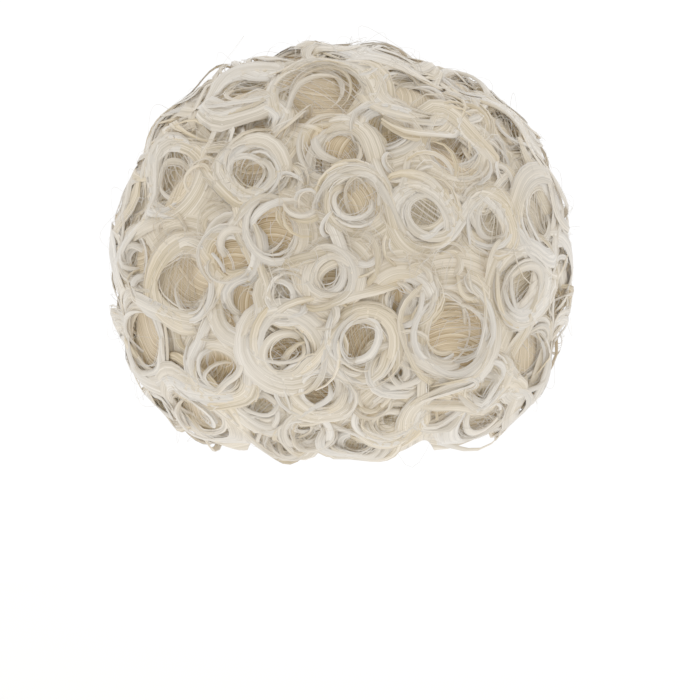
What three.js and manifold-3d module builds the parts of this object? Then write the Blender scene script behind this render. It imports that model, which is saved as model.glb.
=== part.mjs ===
// A short, full wig of platinum ring curls, at its real size.
//
// A close net cap sits on the head, and six fields of curls are sewn to it: crown, fringe, two
// sides, back and nape. Each field is a backing of hair with its locks fused on. A lock is a ridge of
// hair that rises from the backing, runs once round a ring and tucks its tip inside.
//
// Millimetres. +X is the wearer's right, +Y the way the wearer faces, +Z up. The origin is the
// point inside the cap that rests on the crown of the head.
import * as THREE from "three";
import { mergeVertices } from "three/addons/utils/BufferGeometryUtils.js";
import Module from "manifold-3d";

const wasm = await Module();
wasm.setup();

// Driving dimensions

const MIDDLE = -95; // level of the head's greatest girth, which both ovals are drawn from
const GAP = 0.4; // clearance between neighbouring pieces
const CAP_WALL = 1.5; // knitted net

// The head that goes in, 549 mm round, and the outer form of the hair: half width, reach to the
// back and the front, height above and depth below the middle, and how square the lower half is.
const HEAD = { halfWidth: 76, back: 98, front: 98, up: 95 };
const HAIR = { halfWidth: 166, back: 160, front: 138, up: 157, down: 148, squareness: 2.6 };

// Below the middle the head narrows to the neck: share of the girth at each level.
const NECK = [
  { level: -95, share: 1 },
  { level: -140, share: 0.97 },
  { level: -190, share: 0.88 },
  { level: -260, share: 0.85 },
];

// The face looks out through an arch.
const FACE = { halfWidth: 66, top: -72, corner: 40 };

// The cap's edge, seen from the side: level at the forehead and the nape, the tab in front of the
// ear, and the round notch over the ear behind it.
const CAP_EDGE = { forehead: -50, tabFront: 44, tabBack: 20, tab: -118, earRadius: 22, nape: -158 };

// A lock of hair. The backing lies this far below the outer form, and the locks stand on it.
const BACKING_DEPTH = 15;
const LOCK = {
  width: 0.64, // share of the ring's outer radius
  turns: 1.15,
  seat: 1, // depth of the crest below the outer form
  rootShare: 0.36, // share of the lock that rises
  rootSpread: 0.16, // share of the ring's radius that the root lies outside it
  sink: 27, // depth of the root below the ring
  tipShare: 0.3, // share of the lock that tucks in
  tipTuck: 0.34, // share of the ring's radius that the tip comes inside it
  tipDrop: 5, // depth of the tip below the ring
  stepLength: 15, // along the lock
  leastSteps: 8,
};

// The lock's section, a rounded ridge: share of the half width across, from the ring's outside to
// its hole, depth below the crest, and the way each corner moves when the lock is grown.
const LOCK_SECTION = [
  { across: 1, down: 9, lift: -1 },
  { across: 0, down: 0, lift: 1.4 },
  { across: -1, down: 7, lift: -1 },
];

// The curls that show on the back: place across and up from the origin, outer radius of the ring,
// turn (1 anticlockwise, -1 clockwise, seen from behind) and the side its root comes from, degrees.
const BACK_CURLS = [
  { across: -12, up: 25, ring: 36, turn: -1, root: 180 },
  { across: 34, up: -2, ring: 20, turn: 1, root: 150 },
  { across: 80, up: -13, ring: 27, turn: 1, root: 45 },
  { across: 118, up: 1, ring: 24, turn: -1, root: 120 },
  { across: -62, up: -32, ring: 21, turn: 1, root: 60 },
  { across: -121, up: -37, ring: 29, turn: -1, root: 90 },
  { across: 10, up: -52, ring: 22, turn: -1, root: 100 },
  { across: 57, up: -63, ring: 22, turn: -1, root: 80 },
  { across: 103, up: -68, ring: 21, turn: 1, root: 60 },
  { across: -47, up: -74, ring: 22, turn: 1, root: 0 },
  { across: -146, up: -94, ring: 19, turn: 1, root: 60 },
  { across: -7, up: -104, ring: 18, turn: 1, root: 120 },
  { across: -108, up: -110, ring: 29, turn: -1, root: 170 },
  { across: 44, up: -121, ring: 19, turn: -1, root: 90 },
  { across: -67, up: -123, ring: 22, turn: 1, root: 30 },
  { across: 78, up: -144, ring: 32, turn: -1, root: 120 },
  { across: 15, up: -151, ring: 23, turn: 1, root: 20 },
  { across: -37, up: -153, ring: 27, turn: 1, root: 0 },
  { across: 39, up: -167, ring: 18, turn: -1, root: 100 },
  { across: -85, up: -170, ring: 23, turn: 1, root: 80 },
  { across: -14, up: -181, ring: 22, turn: 1, root: 180 },
  { across: 101, up: -180, ring: 19, turn: -1, root: 60 },
  { across: -54, up: -194, ring: 20, turn: 1, root: 150 },
  { across: 35, up: -205, ring: 22, turn: 1, root: 60 },
  { across: -39, up: -224, ring: 19, turn: -1, root: 90 },
  { across: 8, up: -222, ring: 22, turn: -1, root: 80 },
];
const FACING_BACK = 0.8; // how far these rings turn from the hair's own slope to face the back

// The rest of the hair is filled with curls, each as large as its place allows: the places tried on
// an even spiral, the largest ring, how far rings may overlap, how they lean, and the smallest ring
// taken in each round of filling.
const FILL = { places: 500, ring: 33, overlap: 7, lean: 0.14, lowest: -0.72 };
const FILL_ROUNDS = [28, 22, 17];
const GOLDEN_ANGLE = Math.PI * (3 - Math.sqrt(5));

// Partings between the fields: height above the middle and turn from the back, degrees.
const PARTING = { crown: 48, nape: -20, temple: -12, back: 52, front: 138, margin: 0.16 };
const FAR = 420; // beyond the outer form, for cutters
const AROUND = 24; // facets round an oval

const COLOURS = { hair: 0xd9d1c4, cap: 0xcdbfa3 };

// Small helpers

const degrees = (angle) => (angle * Math.PI) / 180;
const vec = (x, y, z) => new THREE.Vector3(x, y, z);

// 0 before t = 0, 1 after t = 1, and an even curve between.
function ease(t) {
  const held = Math.min(1, Math.max(0, t));
  return held * held * (3 - 2 * held);
}

// A closed geometry as a solid that can be joined and cut.
function solidOf(geometry) {
  geometry.deleteAttribute("normal");
  geometry.deleteAttribute("uv");
  const merged = mergeVertices(geometry, 1e-4);
  const corners = merged.index.array;
  const triangles = [];
  for (let i = 0; i < corners.length; i += 3) {
    const [a, b, c] = corners.slice(i, i + 3);
    if (a !== b && b !== c && c !== a) triangles.push(a, b, c);
  }
  const mesh = new wasm.Mesh({
    numProp: 3,
    vertProperties: merged.attributes.position.array,
    triVerts: new Uint32Array(triangles),
  });
  return new wasm.Manifold(mesh);
}

// The largest body of a solid; crumbs that a cut leaves behind are dropped.
const largestOf = (solid) => solid.decompose().sort((a, b) => b.volume() - a.volume())[0];

function geometryOf(solid) {
  const { vertProperties, triVerts } = solid.getMesh();
  const geometry = new THREE.BufferGeometry();
  geometry.setAttribute("position", new THREE.BufferAttribute(vertProperties, 3));
  return geometry.setIndex(new THREE.BufferAttribute(triVerts, 1));
}

// A solid as a named mesh. Its corners are welded once more, so no thread of hair ends in a crack.
function meshOf(name, solid, colour, roughness) {
  const welded = solidOf(geometryOf(largestOf(solid)));
  const geometry = geometryOf(largestOf(welded));
  geometry.computeVertexNormals();
  const material = new THREE.MeshStandardMaterial({ color: colour, roughness, metalness: 0 });
  const mesh = new THREE.Mesh(geometry, material);
  mesh.name = name;
  return mesh;
}

// The ovals

// A turned profile of [share of girth, level] points, stretched to an oval with its own reach to
// each side.
function ovalSolid(profile, { halfWidth, back, front }, segments) {
  const points = profile.map(([share, level]) => new THREE.Vector2(share, level));
  const turned = new THREE.LatheGeometry(points, segments);
  const position = turned.attributes.position;
  for (let i = 0; i < position.count; i++) {
    const forward = -position.getZ(i);
    const reach = forward < 0 ? back : front;
    position.setXYZ(i, position.getX(i) * halfWidth, forward * reach, position.getY(i));
  }
  return solidOf(turned);
}

// Share of the girth left at a height or depth from the middle.
const roundedShare = (height, full, power) =>
  Math.pow(Math.max(0, 1 - Math.pow(height / full, power)), 1 / power);

// The outer form of the hair, drawn in by a depth.
function hairForm(inset) {
  const form = {
    halfWidth: HAIR.halfWidth - inset,
    back: HAIR.back - inset,
    front: HAIR.front - inset,
  };
  const levels = 5;
  const profile = [];
  for (let i = -levels; i <= levels; i++) {
    const angle = (i / levels) * (Math.PI / 2);
    const full = (i < 0 ? HAIR.down : HAIR.up) - inset;
    const power = i < 0 ? HAIR.squareness : 2;
    const height = Math.abs(Math.sin(angle)) * full;
    const share = Math.abs(i) === levels ? 0 : roundedShare(height, full, power);
    profile.push([share, MIDDLE + Math.sign(i) * height]);
  }
  return ovalSolid(profile, form, AROUND);
}

// The head and neck, grown by a clearance.
function headForm(grow) {
  const form = {
    halfWidth: HEAD.halfWidth + grow,
    back: HEAD.back + grow,
    front: HEAD.front + grow,
  };
  const below = NECK.map(({ level, share }) => [share, level]).reverse();
  const domeSteps = 6;
  const dome = [];
  for (let i = 1; i <= domeSteps; i++) {
    const angle = (i / domeSteps) * (Math.PI / 2);
    dome.push([i === domeSteps ? 0 : Math.cos(angle), MIDDLE + Math.sin(angle) * (HEAD.up + grow)]);
  }
  return ovalSolid([[0, NECK.at(-1).level], ...below, ...dome], form, AROUND);
}

// The arch that the face looks out through, open below.
function faceArch() {
  const { halfWidth, top, corner } = FACE;
  const arch = new THREE.Shape();
  arch.moveTo(-halfWidth, -FAR);
  arch.lineTo(halfWidth, -FAR);
  arch.lineTo(halfWidth, top - corner);
  arch.absarc(halfWidth - corner, top - corner, corner, 0, Math.PI / 2);
  arch.lineTo(corner - halfWidth, top);
  arch.absarc(corner - halfWidth, top - corner, corner, Math.PI / 2, Math.PI);
  const cut = new THREE.ExtrudeGeometry(arch, { depth: FAR, bevelEnabled: false, curveSegments: 5 });
  cut.rotateX(Math.PI / 2).translate(0, FAR, 0);
  return solidOf(cut);
}

// The cap

// Everything above the cap's edge: its side outline, carried right across the head.
function aboveCapEdge() {
  const { forehead, tabFront, tabBack, tab, earRadius, nape } = CAP_EDGE;
  const outline = new THREE.Shape();
  outline.moveTo(FAR, FAR).lineTo(-FAR, FAR).lineTo(-FAR, nape).lineTo(-0.7 * HEAD.back, nape);
  outline.lineTo(tabBack - 2 * earRadius, tab);
  outline.absarc(tabBack - earRadius, tab, earRadius, Math.PI, 0, true);
  outline.lineTo(tabFront, tab).quadraticCurveTo(tabFront, forehead, HEAD.front, forehead);
  outline.lineTo(FAR, forehead);
  const block = new THREE.ExtrudeGeometry(outline, {
    depth: 2 * FAR,
    bevelEnabled: false,
    curveSegments: 7,
  });
  return solidOf(block.rotateX(Math.PI / 2).rotateZ(Math.PI / 2).translate(-FAR, 0, 0));
}

const capSolid = () => headForm(CAP_WALL).subtract(headForm(0)).intersect(aboveCapEdge());

// The curls

const hairMiddle = vec(0, 0, MIDDLE);

// How far the outer form reaches from its middle towards a place.
function reachOf({ x, y, z }) {
  const girth = Math.hypot(x / HAIR.halfWidth, y / (y < 0 ? HAIR.back : HAIR.front));
  const power = z < 0 ? HAIR.squareness : 2;
  const height = Math.abs(z) / (z < 0 ? HAIR.down : HAIR.up);
  return Math.pow(Math.pow(girth, power) + Math.pow(height, power), -1 / power);
}

// The outward direction of the outer form at a place measured from its middle.
function slopeOf({ x, y, z }) {
  const reach = y < 0 ? HAIR.back : HAIR.front;
  const girth = Math.hypot(x / HAIR.halfWidth, y / reach);
  const power = z < 0 ? HAIR.squareness : 2;
  const full = z < 0 ? HAIR.down : HAIR.up;
  const across = Math.pow(Math.max(girth, 0.02), power - 2);
  const height = (Math.sign(z) * Math.pow(Math.abs(z) / full, power - 1)) / full;
  return vec((across * x) / HAIR.halfWidth ** 2, (across * y) / reach ** 2, height).normalize();
}

// A curl seated at a place on the outer form: its own axes and ring.
function seatedCurl(place, axis, { ring, turn, root }) {
  const right = vec(0, 0, 1).cross(axis);
  if (right.length() < 0.2) right.set(1, 0, 0).cross(axis);
  right.normalize();
  const up = axis.clone().cross(right);
  return { place: place.clone().add(hairMiddle), axis, right, up, ring, turn, root: degrees(root) };
}

// The charted curls of the back lie where the outer form passes through their place.
function backCurls() {
  return BACK_CURLS.map((row) => {
    const height = row.up - MIDDLE;
    const full = height < 0 ? HAIR.down : HAIR.up;
    const girth = roundedShare(Math.abs(height), full, height < 0 ? HAIR.squareness : 2);
    const depth = Math.sqrt(Math.max(0, girth ** 2 - (row.across / HAIR.halfWidth) ** 2));
    const place = vec(row.across, -HAIR.back * depth, height);
    const axis = slopeOf(place).add(vec(0, -FACING_BACK, 0)).normalize();
    return seatedCurl(place, axis, row);
  });
}

// True where a curl of that size would cover the face or hang under the hair.
function isOpen(place, ring) {
  const level = place.z + MIDDLE;
  const inFace = place.y > 0 && Math.abs(place.x) < FACE.halfWidth + ring * 0.4;
  return inFace && level < FACE.top + ring * 0.5;
}

// The other curls, on an even spiral, wherever the curls before them leave room.
function fillCurls(charted) {
  const curls = [];
  for (const smallest of FILL_ROUNDS) {
    for (let i = 0; i < FILL.places; i++) {
      const height = 1 - (2 * i + 1) / FILL.places;
      const heading = i * GOLDEN_ANGLE;
      const girth = Math.sqrt(1 - height * height);
      const direction = vec(girth * Math.cos(heading), girth * Math.sin(heading), height);
      const place = direction.multiplyScalar(reachOf(direction));
      const room = (other) => place.distanceTo(other.place.clone().sub(hairMiddle)) - other.ring;
      const ring = Math.min(FILL.ring, FILL.overlap + Math.min(...[...charted, ...curls].map(room)));
      if (height < FILL.lowest || ring < smallest || isOpen(place, ring)) continue;
      const wobble = vec(Math.sin(i * 1.7), Math.sin(i * 2.9), Math.sin(i * 4.1));
      const axis = slopeOf(place).addScaledVector(wobble, FILL.lean).normalize();
      curls.push(seatedCurl(place, axis, { ring, turn: i % 2 ? 1 : -1, root: i * 77 }));
    }
  }
  return curls;
}

// One lock: a ridge swept round its ring. Grow adds clearance for a cut, with one step more at each
// end.
function lockSolid({ place, axis, right, up, ring, turn, root }, grow) {
  const halfWidth = (LOCK.width * ring) / 2;
  const middleRing = ring - halfWidth;
  const length = 2 * Math.PI * middleRing * LOCK.turns;
  const steps = Math.max(LOCK.leastSteps, Math.round(length / LOCK.stepLength));
  const shares = Array.from({ length: steps + 1 }, (_, i) => i / steps);
  if (grow > 0) shares.splice(0, 0, -0.03 * grow);
  if (grow > 0) shares.push(1 + 0.03 * grow);
  const points = [];
  for (const share of shares) {
    const angle = root + turn * 2 * Math.PI * LOCK.turns * share;
    const rising = 1 - ease(share / LOCK.rootShare);
    const tucking = ease((share - 1 + LOCK.tipShare) / LOCK.tipShare);
    const radius = middleRing * (1 + LOCK.rootSpread * rising - LOCK.tipTuck * tucking);
    const depth = LOCK.seat + LOCK.sink * rising + LOCK.tipDrop * tucking;
    const wide = halfWidth * (1 - 0.45 * tucking) + 3 * grow;
    const outward = right.clone().multiplyScalar(Math.cos(angle)).addScaledVector(up, Math.sin(angle));
    for (const { across, down, lift } of LOCK_SECTION) {
      const point = place.clone().addScaledVector(outward, radius + across * wide);
      points.push(point.addScaledVector(axis, lift * grow - depth - down));
    }
  }
  const sides = LOCK_SECTION.length;
  const last = (shares.length - 1) * sides;
  const triangles = [0, 2, 1, last, last + 1, last + 2];
  for (let start = 0; start < last; start += sides) {
    for (let j = 0; j < sides; j++) {
      const a = start + j;
      const b = start + ((j + 1) % sides);
      triangles.push(a, b + sides, a + sides, a, b, b + sides);
    }
  }
  if (turn > 0) triangles.reverse();
  return solidOf(new THREE.BufferGeometry().setFromPoints(points).setIndex(triangles));
}

// The fields of hair

// Everything higher (or, with side -1, lower) than an angle above the middle.
function coneSolid(angle, side) {
  const rim = degrees(angle);
  const points = [new THREE.Vector2(0, 0)];
  points.push(new THREE.Vector2(FAR * Math.cos(rim), FAR * Math.sin(rim)));
  points.push(new THREE.Vector2(FAR * Math.cos(rim), side * FAR), new THREE.Vector2(0, side * FAR));
  if (side < 0) points.reverse();
  const cone = new THREE.LatheGeometry(points, AROUND);
  return solidOf(cone.rotateX(Math.PI / 2).translate(0, 0, MIDDLE));
}

// Everything between two turns from the back, towards the wearer's right.
function wedgeSolid(from, to) {
  const wedge = new THREE.Shape().moveTo(0, 0);
  const steps = Math.ceil((to - from) / 45);
  for (let i = 0; i <= steps; i++) {
    const heading = degrees(from + ((to - from) * i) / steps);
    wedge.lineTo(2 * FAR * Math.sin(heading), -2 * FAR * Math.cos(heading));
  }
  const block = new THREE.ExtrudeGeometry(wedge, { depth: 2 * FAR, bevelEnabled: false });
  return solidOf(block.translate(0, 0, -FAR + MIDDLE));
}

// The part of a solid that belongs to each field, with its partings drawn in by a margin.
function fieldParts(solid, margin) {
  const { crown, nape, temple, back, front } = PARTING;
  const below = solid.subtract(coneSolid(crown - margin, 1));
  const behind = below.intersect(wedgeSolid(margin - back, back - margin));
  const ahead = below.intersect(wedgeSolid(front + margin, 360 - front - margin));
  const side = (from, to, cheekFrom, cheekTo) => {
    const cheek = below.intersect(wedgeSolid(cheekFrom, cheekTo)).intersect(coneSolid(temple - margin, -1));
    return below.intersect(wedgeSolid(from, to)).add(cheek);
  };
  return {
    back_curls: behind.subtract(coneSolid(nape + margin, -1)),
    nape_curls: behind.intersect(coneSolid(nape - margin, -1)),
    right_side_curls: side(back + margin, front - margin, front - 1, 180 - margin),
    left_side_curls: side(margin - front, -back - margin, margin - 180, 1 - front),
    fringe_curls: ahead.subtract(coneSolid(temple + margin, -1)),
    crown_curls: solid.intersect(coneSolid(crown + margin, 1)),
  };
}

// The field that a curl is rooted in.
function fieldOf({ place, axis, right, up, ring, root }) {
  const spread = ring * (1 - LOCK.width / 2) * (1 + LOCK.rootSpread);
  const from = place.clone().sub(hairMiddle).addScaledVector(axis, -LOCK.seat - LOCK.sink);
  from.addScaledVector(right, spread * Math.cos(root)).addScaledVector(up, spread * Math.sin(root));
  from.normalize();
  const height = (Math.asin(from.z) * 180) / Math.PI;
  const turn = (Math.atan2(from.x, -from.y) * 180) / Math.PI;
  if (height > PARTING.crown) return "crown_curls";
  if (Math.abs(turn) < PARTING.back) return height < PARTING.nape ? "nape_curls" : "back_curls";
  if (Math.abs(turn) > PARTING.front && height > PARTING.temple) return "fringe_curls";
  return turn > 0 ? "right_side_curls" : "left_side_curls";
}

// Every field as a mesh. A lock cuts its own bed in the neighbours' backing, and in the locks of the
// fields after its own.
function hairMeshes() {
  const cavity = headForm(CAP_WALL + GAP);
  const backing = fieldParts(hairForm(BACKING_DEPTH).subtract(faceArch()), PARTING.margin);
  const charted = backCurls();
  const curls = [...charted, ...fillCurls(charted)];
  const locksOf = (name, grow) => {
    const locks = curls.filter((curl) => fieldOf(curl) === name);
    return locks.map((curl) => lockSolid(curl, grow)).reduce((sum, lock) => sum.add(lock));
  };
  const names = Object.keys(backing);
  const beds = names.map((name) => locksOf(name, GAP));
  const cut = (solid, others) => others.reduce((rest, bed) => rest.subtract(bed), solid);
  return names.map((name, index) => {
    const ground = cut(backing[name], beds.filter((bed, other) => other !== index));
    const locks = cut(locksOf(name, 0), beds.slice(0, index));
    return meshOf(name, ground.add(locks).subtract(cavity), COLOURS.hair, 0.55);
  });
}

const wig = new THREE.Group();
wig.name = "short_curly_wig";
wig.add(meshOf("cap", capSolid(), COLOURS.cap, 0.9), ...hairMeshes());

export default wig;
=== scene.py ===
# %% [markdown]
# # A short wig of platinum ring curls
# The wig is a close net cap with short hair sewn to it, and the hair is set in ring curls. Real hair is
# tens of thousands of fibres, but the eye reads it in larger parts: flat bands that lie round a ring,
# the wisps that a band is made of, and a few fibres that have come loose. This lesson builds those
# parts and lets the material draw the finer fibre.
#
# Everything is in metres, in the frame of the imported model: +X is the wearer's right, +Y the way the
# wearer faces, +Z up, and the origin is the point inside the cap that rests on the crown.

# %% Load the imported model
import math

import bmesh
import bpy
import numpy as np
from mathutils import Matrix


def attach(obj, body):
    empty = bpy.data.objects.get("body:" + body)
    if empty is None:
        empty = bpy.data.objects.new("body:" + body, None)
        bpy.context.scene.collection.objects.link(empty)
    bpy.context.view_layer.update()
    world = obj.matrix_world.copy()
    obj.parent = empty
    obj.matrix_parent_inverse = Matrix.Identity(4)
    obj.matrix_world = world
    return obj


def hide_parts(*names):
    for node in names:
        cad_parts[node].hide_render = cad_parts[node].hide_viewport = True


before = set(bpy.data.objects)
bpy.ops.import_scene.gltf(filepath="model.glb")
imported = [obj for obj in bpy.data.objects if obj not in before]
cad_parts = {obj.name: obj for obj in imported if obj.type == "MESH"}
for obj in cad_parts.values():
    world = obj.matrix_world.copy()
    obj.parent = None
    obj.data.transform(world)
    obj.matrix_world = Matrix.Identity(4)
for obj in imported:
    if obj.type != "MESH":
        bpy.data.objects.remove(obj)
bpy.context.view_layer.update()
print("packed nodes:", ", ".join(sorted(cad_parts)))

# %% [markdown]
# ## The outer form
# A set of ring curls has a clear outer form, as a hedge has: every curl stands up to it. Here it is a
# half oval above the level of the ears and a squarer one below, so the hair hangs full to the nape.
# The curls only need two answers from it, so it is kept as small functions and not as a mesh: how far
# it reaches in a direction, and which way is outwards at a place.

# %% The outer form as functions
MM = 0.001
MIDDLE = -95 * MM
HALF_WIDTH, BACK, FRONT = 166 * MM, 160 * MM, 138 * MM
UP, DOWN, SQUARENESS = 157 * MM, 148 * MM, 2.6
LEAST_GIRTH = 0.02
hair_middle = np.array((0, 0, MIDDLE))


def unit(vectors):
    return vectors / np.linalg.norm(vectors, axis=-1, keepdims=True)


def form_at(place):
    """Reach to the front or back, height or depth, and squareness of the half that a place is in."""
    low = place[2] < 0
    return (BACK if place[1] < 0 else FRONT), (DOWN if low else UP), (SQUARENESS if low else 2)


def reach_of(directions):
    """Distance from the hair's middle to the outer form, for one direction or many."""
    x, y, z = np.moveaxis(np.asarray(directions), -1, 0)
    girth = np.hypot(x / HALF_WIDTH, y / np.where(y < 0, BACK, FRONT))
    full, power = np.where(z < 0, DOWN, UP), np.where(z < 0, SQUARENESS, 2)
    return (girth**power + np.abs(z / full) ** power) ** (-1 / power)


def slope_of(place):
    """Outward direction of the form at a place that is measured from the hair's middle."""
    reach, full, power = form_at(place)
    girth = max(math.hypot(place[0] / HALF_WIDTH, place[1] / reach), LEAST_GIRTH)
    across = girth ** (power - 2)
    height = math.copysign(abs(place[2] / full) ** (power - 1), place[2]) / full
    return unit(np.array((across * place[0] / HALF_WIDTH**2, across * place[1] / reach**2, height)))


print("hair is", round(2 * HALF_WIDTH / MM), "mm wide and", round((UP + DOWN) / MM), "mm tall")

# %% [markdown]
# ## Where the curls sit
# The rings that show on the back of the head are charted one by one: place across and up, outer
# radius, the way the ring turns, the side its root comes from, and how open its hole is. They face a
# little more to the back than the slope under them, as a comb leaves them.

# %% The charted curls of the back
# across mm, up mm, ring mm, turn (1 anticlockwise), root degrees, openness (0 closed, 1 an open hole)
BACK_CURLS = [
    (-12, 25, 36, -1, 180, 0.1), (34, -2, 20, 1, 150, 0.6), (80, -13, 27, 1, 45, 0.6),
    (118, 1, 24, -1, 120, 0.2), (-62, -32, 21, 1, 60, 0.8), (-121, -37, 29, -1, 90, 0.3),
    (10, -52, 22, -1, 100, 0.4), (57, -63, 22, -1, 80, 0.3), (103, -68, 21, 1, 60, 0.2),
    (-47, -74, 22, 1, 0, 0.5), (-146, -94, 19, 1, 60, 0.2), (-7, -104, 18, 1, 120, 0.8),
    (-108, -110, 29, -1, 170, 0.5), (44, -121, 19, -1, 90, 0.5), (-67, -123, 22, 1, 30, 0.6),
    (78, -144, 32, -1, 120, 0.4), (15, -151, 23, 1, 20, 0.8), (-37, -153, 27, 1, 0, 0.9),
    (39, -167, 18, -1, 100, 0.6), (-85, -170, 23, 1, 80, 0.9), (-14, -181, 22, 1, 180, 1.0),
    (101, -180, 19, -1, 60, 0.3), (-54, -194, 20, 1, 150, 0.4), (35, -205, 22, 1, 60, 0.6),
    (-39, -224, 19, -1, 90, 0.2), (8, -222, 22, -1, 80, 0.4),
]
FACING_BACK, NEARLY_UPRIGHT = 0.8, 0.2


def seated_curl(place, axis, ring, turn, root, openness):
    """A ring on the outer form with its own axes: right and up lie in the ring, axis points out."""
    right = np.cross((0, 0, 1), axis)
    if np.linalg.norm(right) < NEARLY_UPRIGHT:
        right = np.cross((1, 0, 0), axis)
    right = unit(right)
    return dict(place=place + hair_middle, axis=axis, right=right, up=np.cross(axis, right), ring=ring,
                turn=turn, root=root, openness=openness, below=0.0)


def charted_curls():
    curls = []
    for across, up, ring, turn, root, openness in BACK_CURLS:
        height = up * MM - MIDDLE
        full, power = (DOWN, SQUARENESS) if height < 0 else (UP, 2)
        girth = max(0, 1 - abs(height / full) ** power) ** (1 / power)
        depth = math.sqrt(max(0, girth**2 - (across * MM / HALF_WIDTH) ** 2))
        place = np.array((across * MM, -BACK * depth, height))
        axis = unit(slope_of(place) + np.array((0, -FACING_BACK, 0)))
        curls.append(seated_curl(place, axis, ring * MM, turn, math.radians(root), openness))
    return curls


charted = charted_curls()
print(len(charted), "charted curls, rings up to", max(row[2] for row in BACK_CURLS), "mm")

# %% [markdown]
# The rest of the hair is filled by rule. Places are tried on an even spiral over the form, and each
# takes a ring as large as its neighbours leave room for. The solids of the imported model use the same
# chart and the same rule, so every curl here dresses its own solid. Then each ring is seated a little
# deeper, by chance, because hair isn't set to a gauge.

# %% The curls that fill the rest
FILL_PLACES, FILL_LOWEST = 500, -0.72
FILL_RING, FILL_OVERLAP = 33 * MM, 7 * MM
FILL_ROUNDS = (28 * MM, 22 * MM, 17 * MM)
FILL_LEAN, WOBBLE_RATES = 0.14, (1.7, 2.9, 4.1)
ROOT_STEP, OPENNESS_STEP, MOST_CLOSED = 77, 0.618, 0.1
FACE_HALF_WIDTH, FACE_TOP, FACE_CORNER = 66 * MM, -72 * MM, 40 * MM
GOLDEN_ANGLE = math.pi * (3 - math.sqrt(5))
DEEPEST_SEAT = 8 * MM


def covers_face(place, ring):
    in_face = place[1] > 0 and abs(place[0]) < FACE_HALF_WIDTH + ring * 0.4
    return in_face and place[2] + MIDDLE < FACE_TOP + ring * 0.5


def fill_curls(charted):
    curls = list(charted)
    for smallest in FILL_ROUNDS:
        for i in range(FILL_PLACES):
            height = 1 - (2 * i + 1) / FILL_PLACES
            girth, heading = math.sqrt(1 - height**2), i * GOLDEN_ANGLE
            direction = np.array((girth * math.cos(heading), girth * math.sin(heading), height))
            place = direction * reach_of(direction)
            room = min(np.linalg.norm(place + hair_middle - c["place"]) - c["ring"] for c in curls)
            ring = min(FILL_RING, FILL_OVERLAP + room)
            if height < FILL_LOWEST or ring < smallest or covers_face(place, ring):
                continue
            wobble = np.array([math.sin(i * rate) for rate in WOBBLE_RATES])
            axis = unit(slope_of(place) + FILL_LEAN * wobble)
            turn, root = (1 if i % 2 else -1), math.radians(ROOT_STEP * i)
            openness = MOST_CLOSED + (1 - MOST_CLOSED) * (OPENNESS_STEP * i % 1)
            curls.append(seated_curl(place, axis, ring, turn, root, openness))
    return curls


curls = fill_curls(charted)
sinking = np.random.default_rng(5)
for curl in curls:
    curl["sink"] = sinking.uniform(0, DEEPEST_SEAT)
    curl["place"] = curl["place"] - curl["sink"] * curl["axis"]
print(len(charted), "charted curls and", len(curls) - len(charted), "by rule")

# %% [markdown]
# ## The field of each curl
# A wig maker sews the hair in fields: crown, fringe, sides, back and nape. Each field is one piece
# here, and takes the place of its plain solid. A curl belongs to the field that its root is in.

# %% Sort the curls into fields
PARTING_CROWN, PARTING_NAPE, PARTING_TEMPLE, PARTING_BACK, PARTING_FRONT = 48, -20, -12, 52, 138
ROOT_SPREAD, ROOT_DEPTH = 0.68 * 1.16, 28 * MM


def rootward(curl):
    """Direction in the ring from its middle to its root."""
    return math.cos(curl["root"]) * curl["right"] + math.sin(curl["root"]) * curl["up"]


def field_of(curl):
    root = curl["place"] - hair_middle - ROOT_DEPTH * curl["axis"]
    root = unit(root + ROOT_SPREAD * curl["ring"] * rootward(curl))
    height = math.degrees(math.asin(root[2]))
    turn = math.degrees(math.atan2(root[0], -root[1]))
    if height > PARTING_CROWN:
        return "crown_curls"
    if abs(turn) < PARTING_BACK:
        return "nape_curls" if height < PARTING_NAPE else "back_curls"
    if abs(turn) > PARTING_FRONT and height > PARTING_TEMPLE:
        return "fringe_curls"
    return "right_side_curls" if turn > 0 else "left_side_curls"


fields = {}
for curl in curls:
    fields.setdefault(field_of(curl), []).append(curl)
print({name: len(group) for name, group in sorted(fields.items())})

# %% [markdown]
# ## Soft dips
# No set of curls is a smooth ball. Broad, soft dips run over this one, so the outline is lumpy. Hair
# that would stand outside the lumpy form is drawn back to it, gently enough that a lock still shows.

# %% The dips of the outer form
MOST_PROUD, LUMP_DEPTH = 1.6 * MM, 12 * MM
LUMP_RATES = np.array(((16, 0, 7), (-6, 9, 15), (0, 16, 8)))
LUMP_STARTS = np.array((1.0, 2.1, 0.4))
LUMP_MEAN, LUMP_SWING = 0.32, 1 / 4.5


def lumps(directions):
    """Depth of the soft dips in the outer form, some 60 mm from one to the next. Bumps are below 0."""
    waves = np.sin(directions @ LUMP_RATES.T + LUMP_STARTS).sum(axis=-1)
    return LUMP_DEPTH * (LUMP_MEAN + LUMP_SWING * waves)


def pulled_in(points):
    """Brings points that stand outside the lumpy form back to it, softly."""
    away = points - hair_middle
    distance = np.linalg.norm(away, axis=1, keepdims=True)
    reach = (reach_of(away / distance) - lumps(away / distance))[:, None]
    proud = np.maximum(distance - reach, 0)
    held = np.minimum(distance, reach) + MOST_PROUD * np.tanh(proud / MOST_PROUD)
    return hair_middle + away / distance * held


dips = [lumps(unit(curl["place"] - hair_middle)) / MM for curl in curls]
print("dips at the curls run from", round(min(dips), 1), "to", round(max(dips), 1), "mm")

# %% [markdown]
# ## A lock of hair
# A ring curl is made of locks: broad, thin sheets of hair that come up from the roots, wind round the
# ring and end in a thin tip inside it. Near the root a lock leans outwards like a skirt, and inside
# the ring it leans inwards like the wall of a bowl. So a lock here is a path with a width and a lean,
# and each of its measures is given at three places: root, ring and tip. The path is only an array of
# points. The sheet itself is swept along it later.

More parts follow.
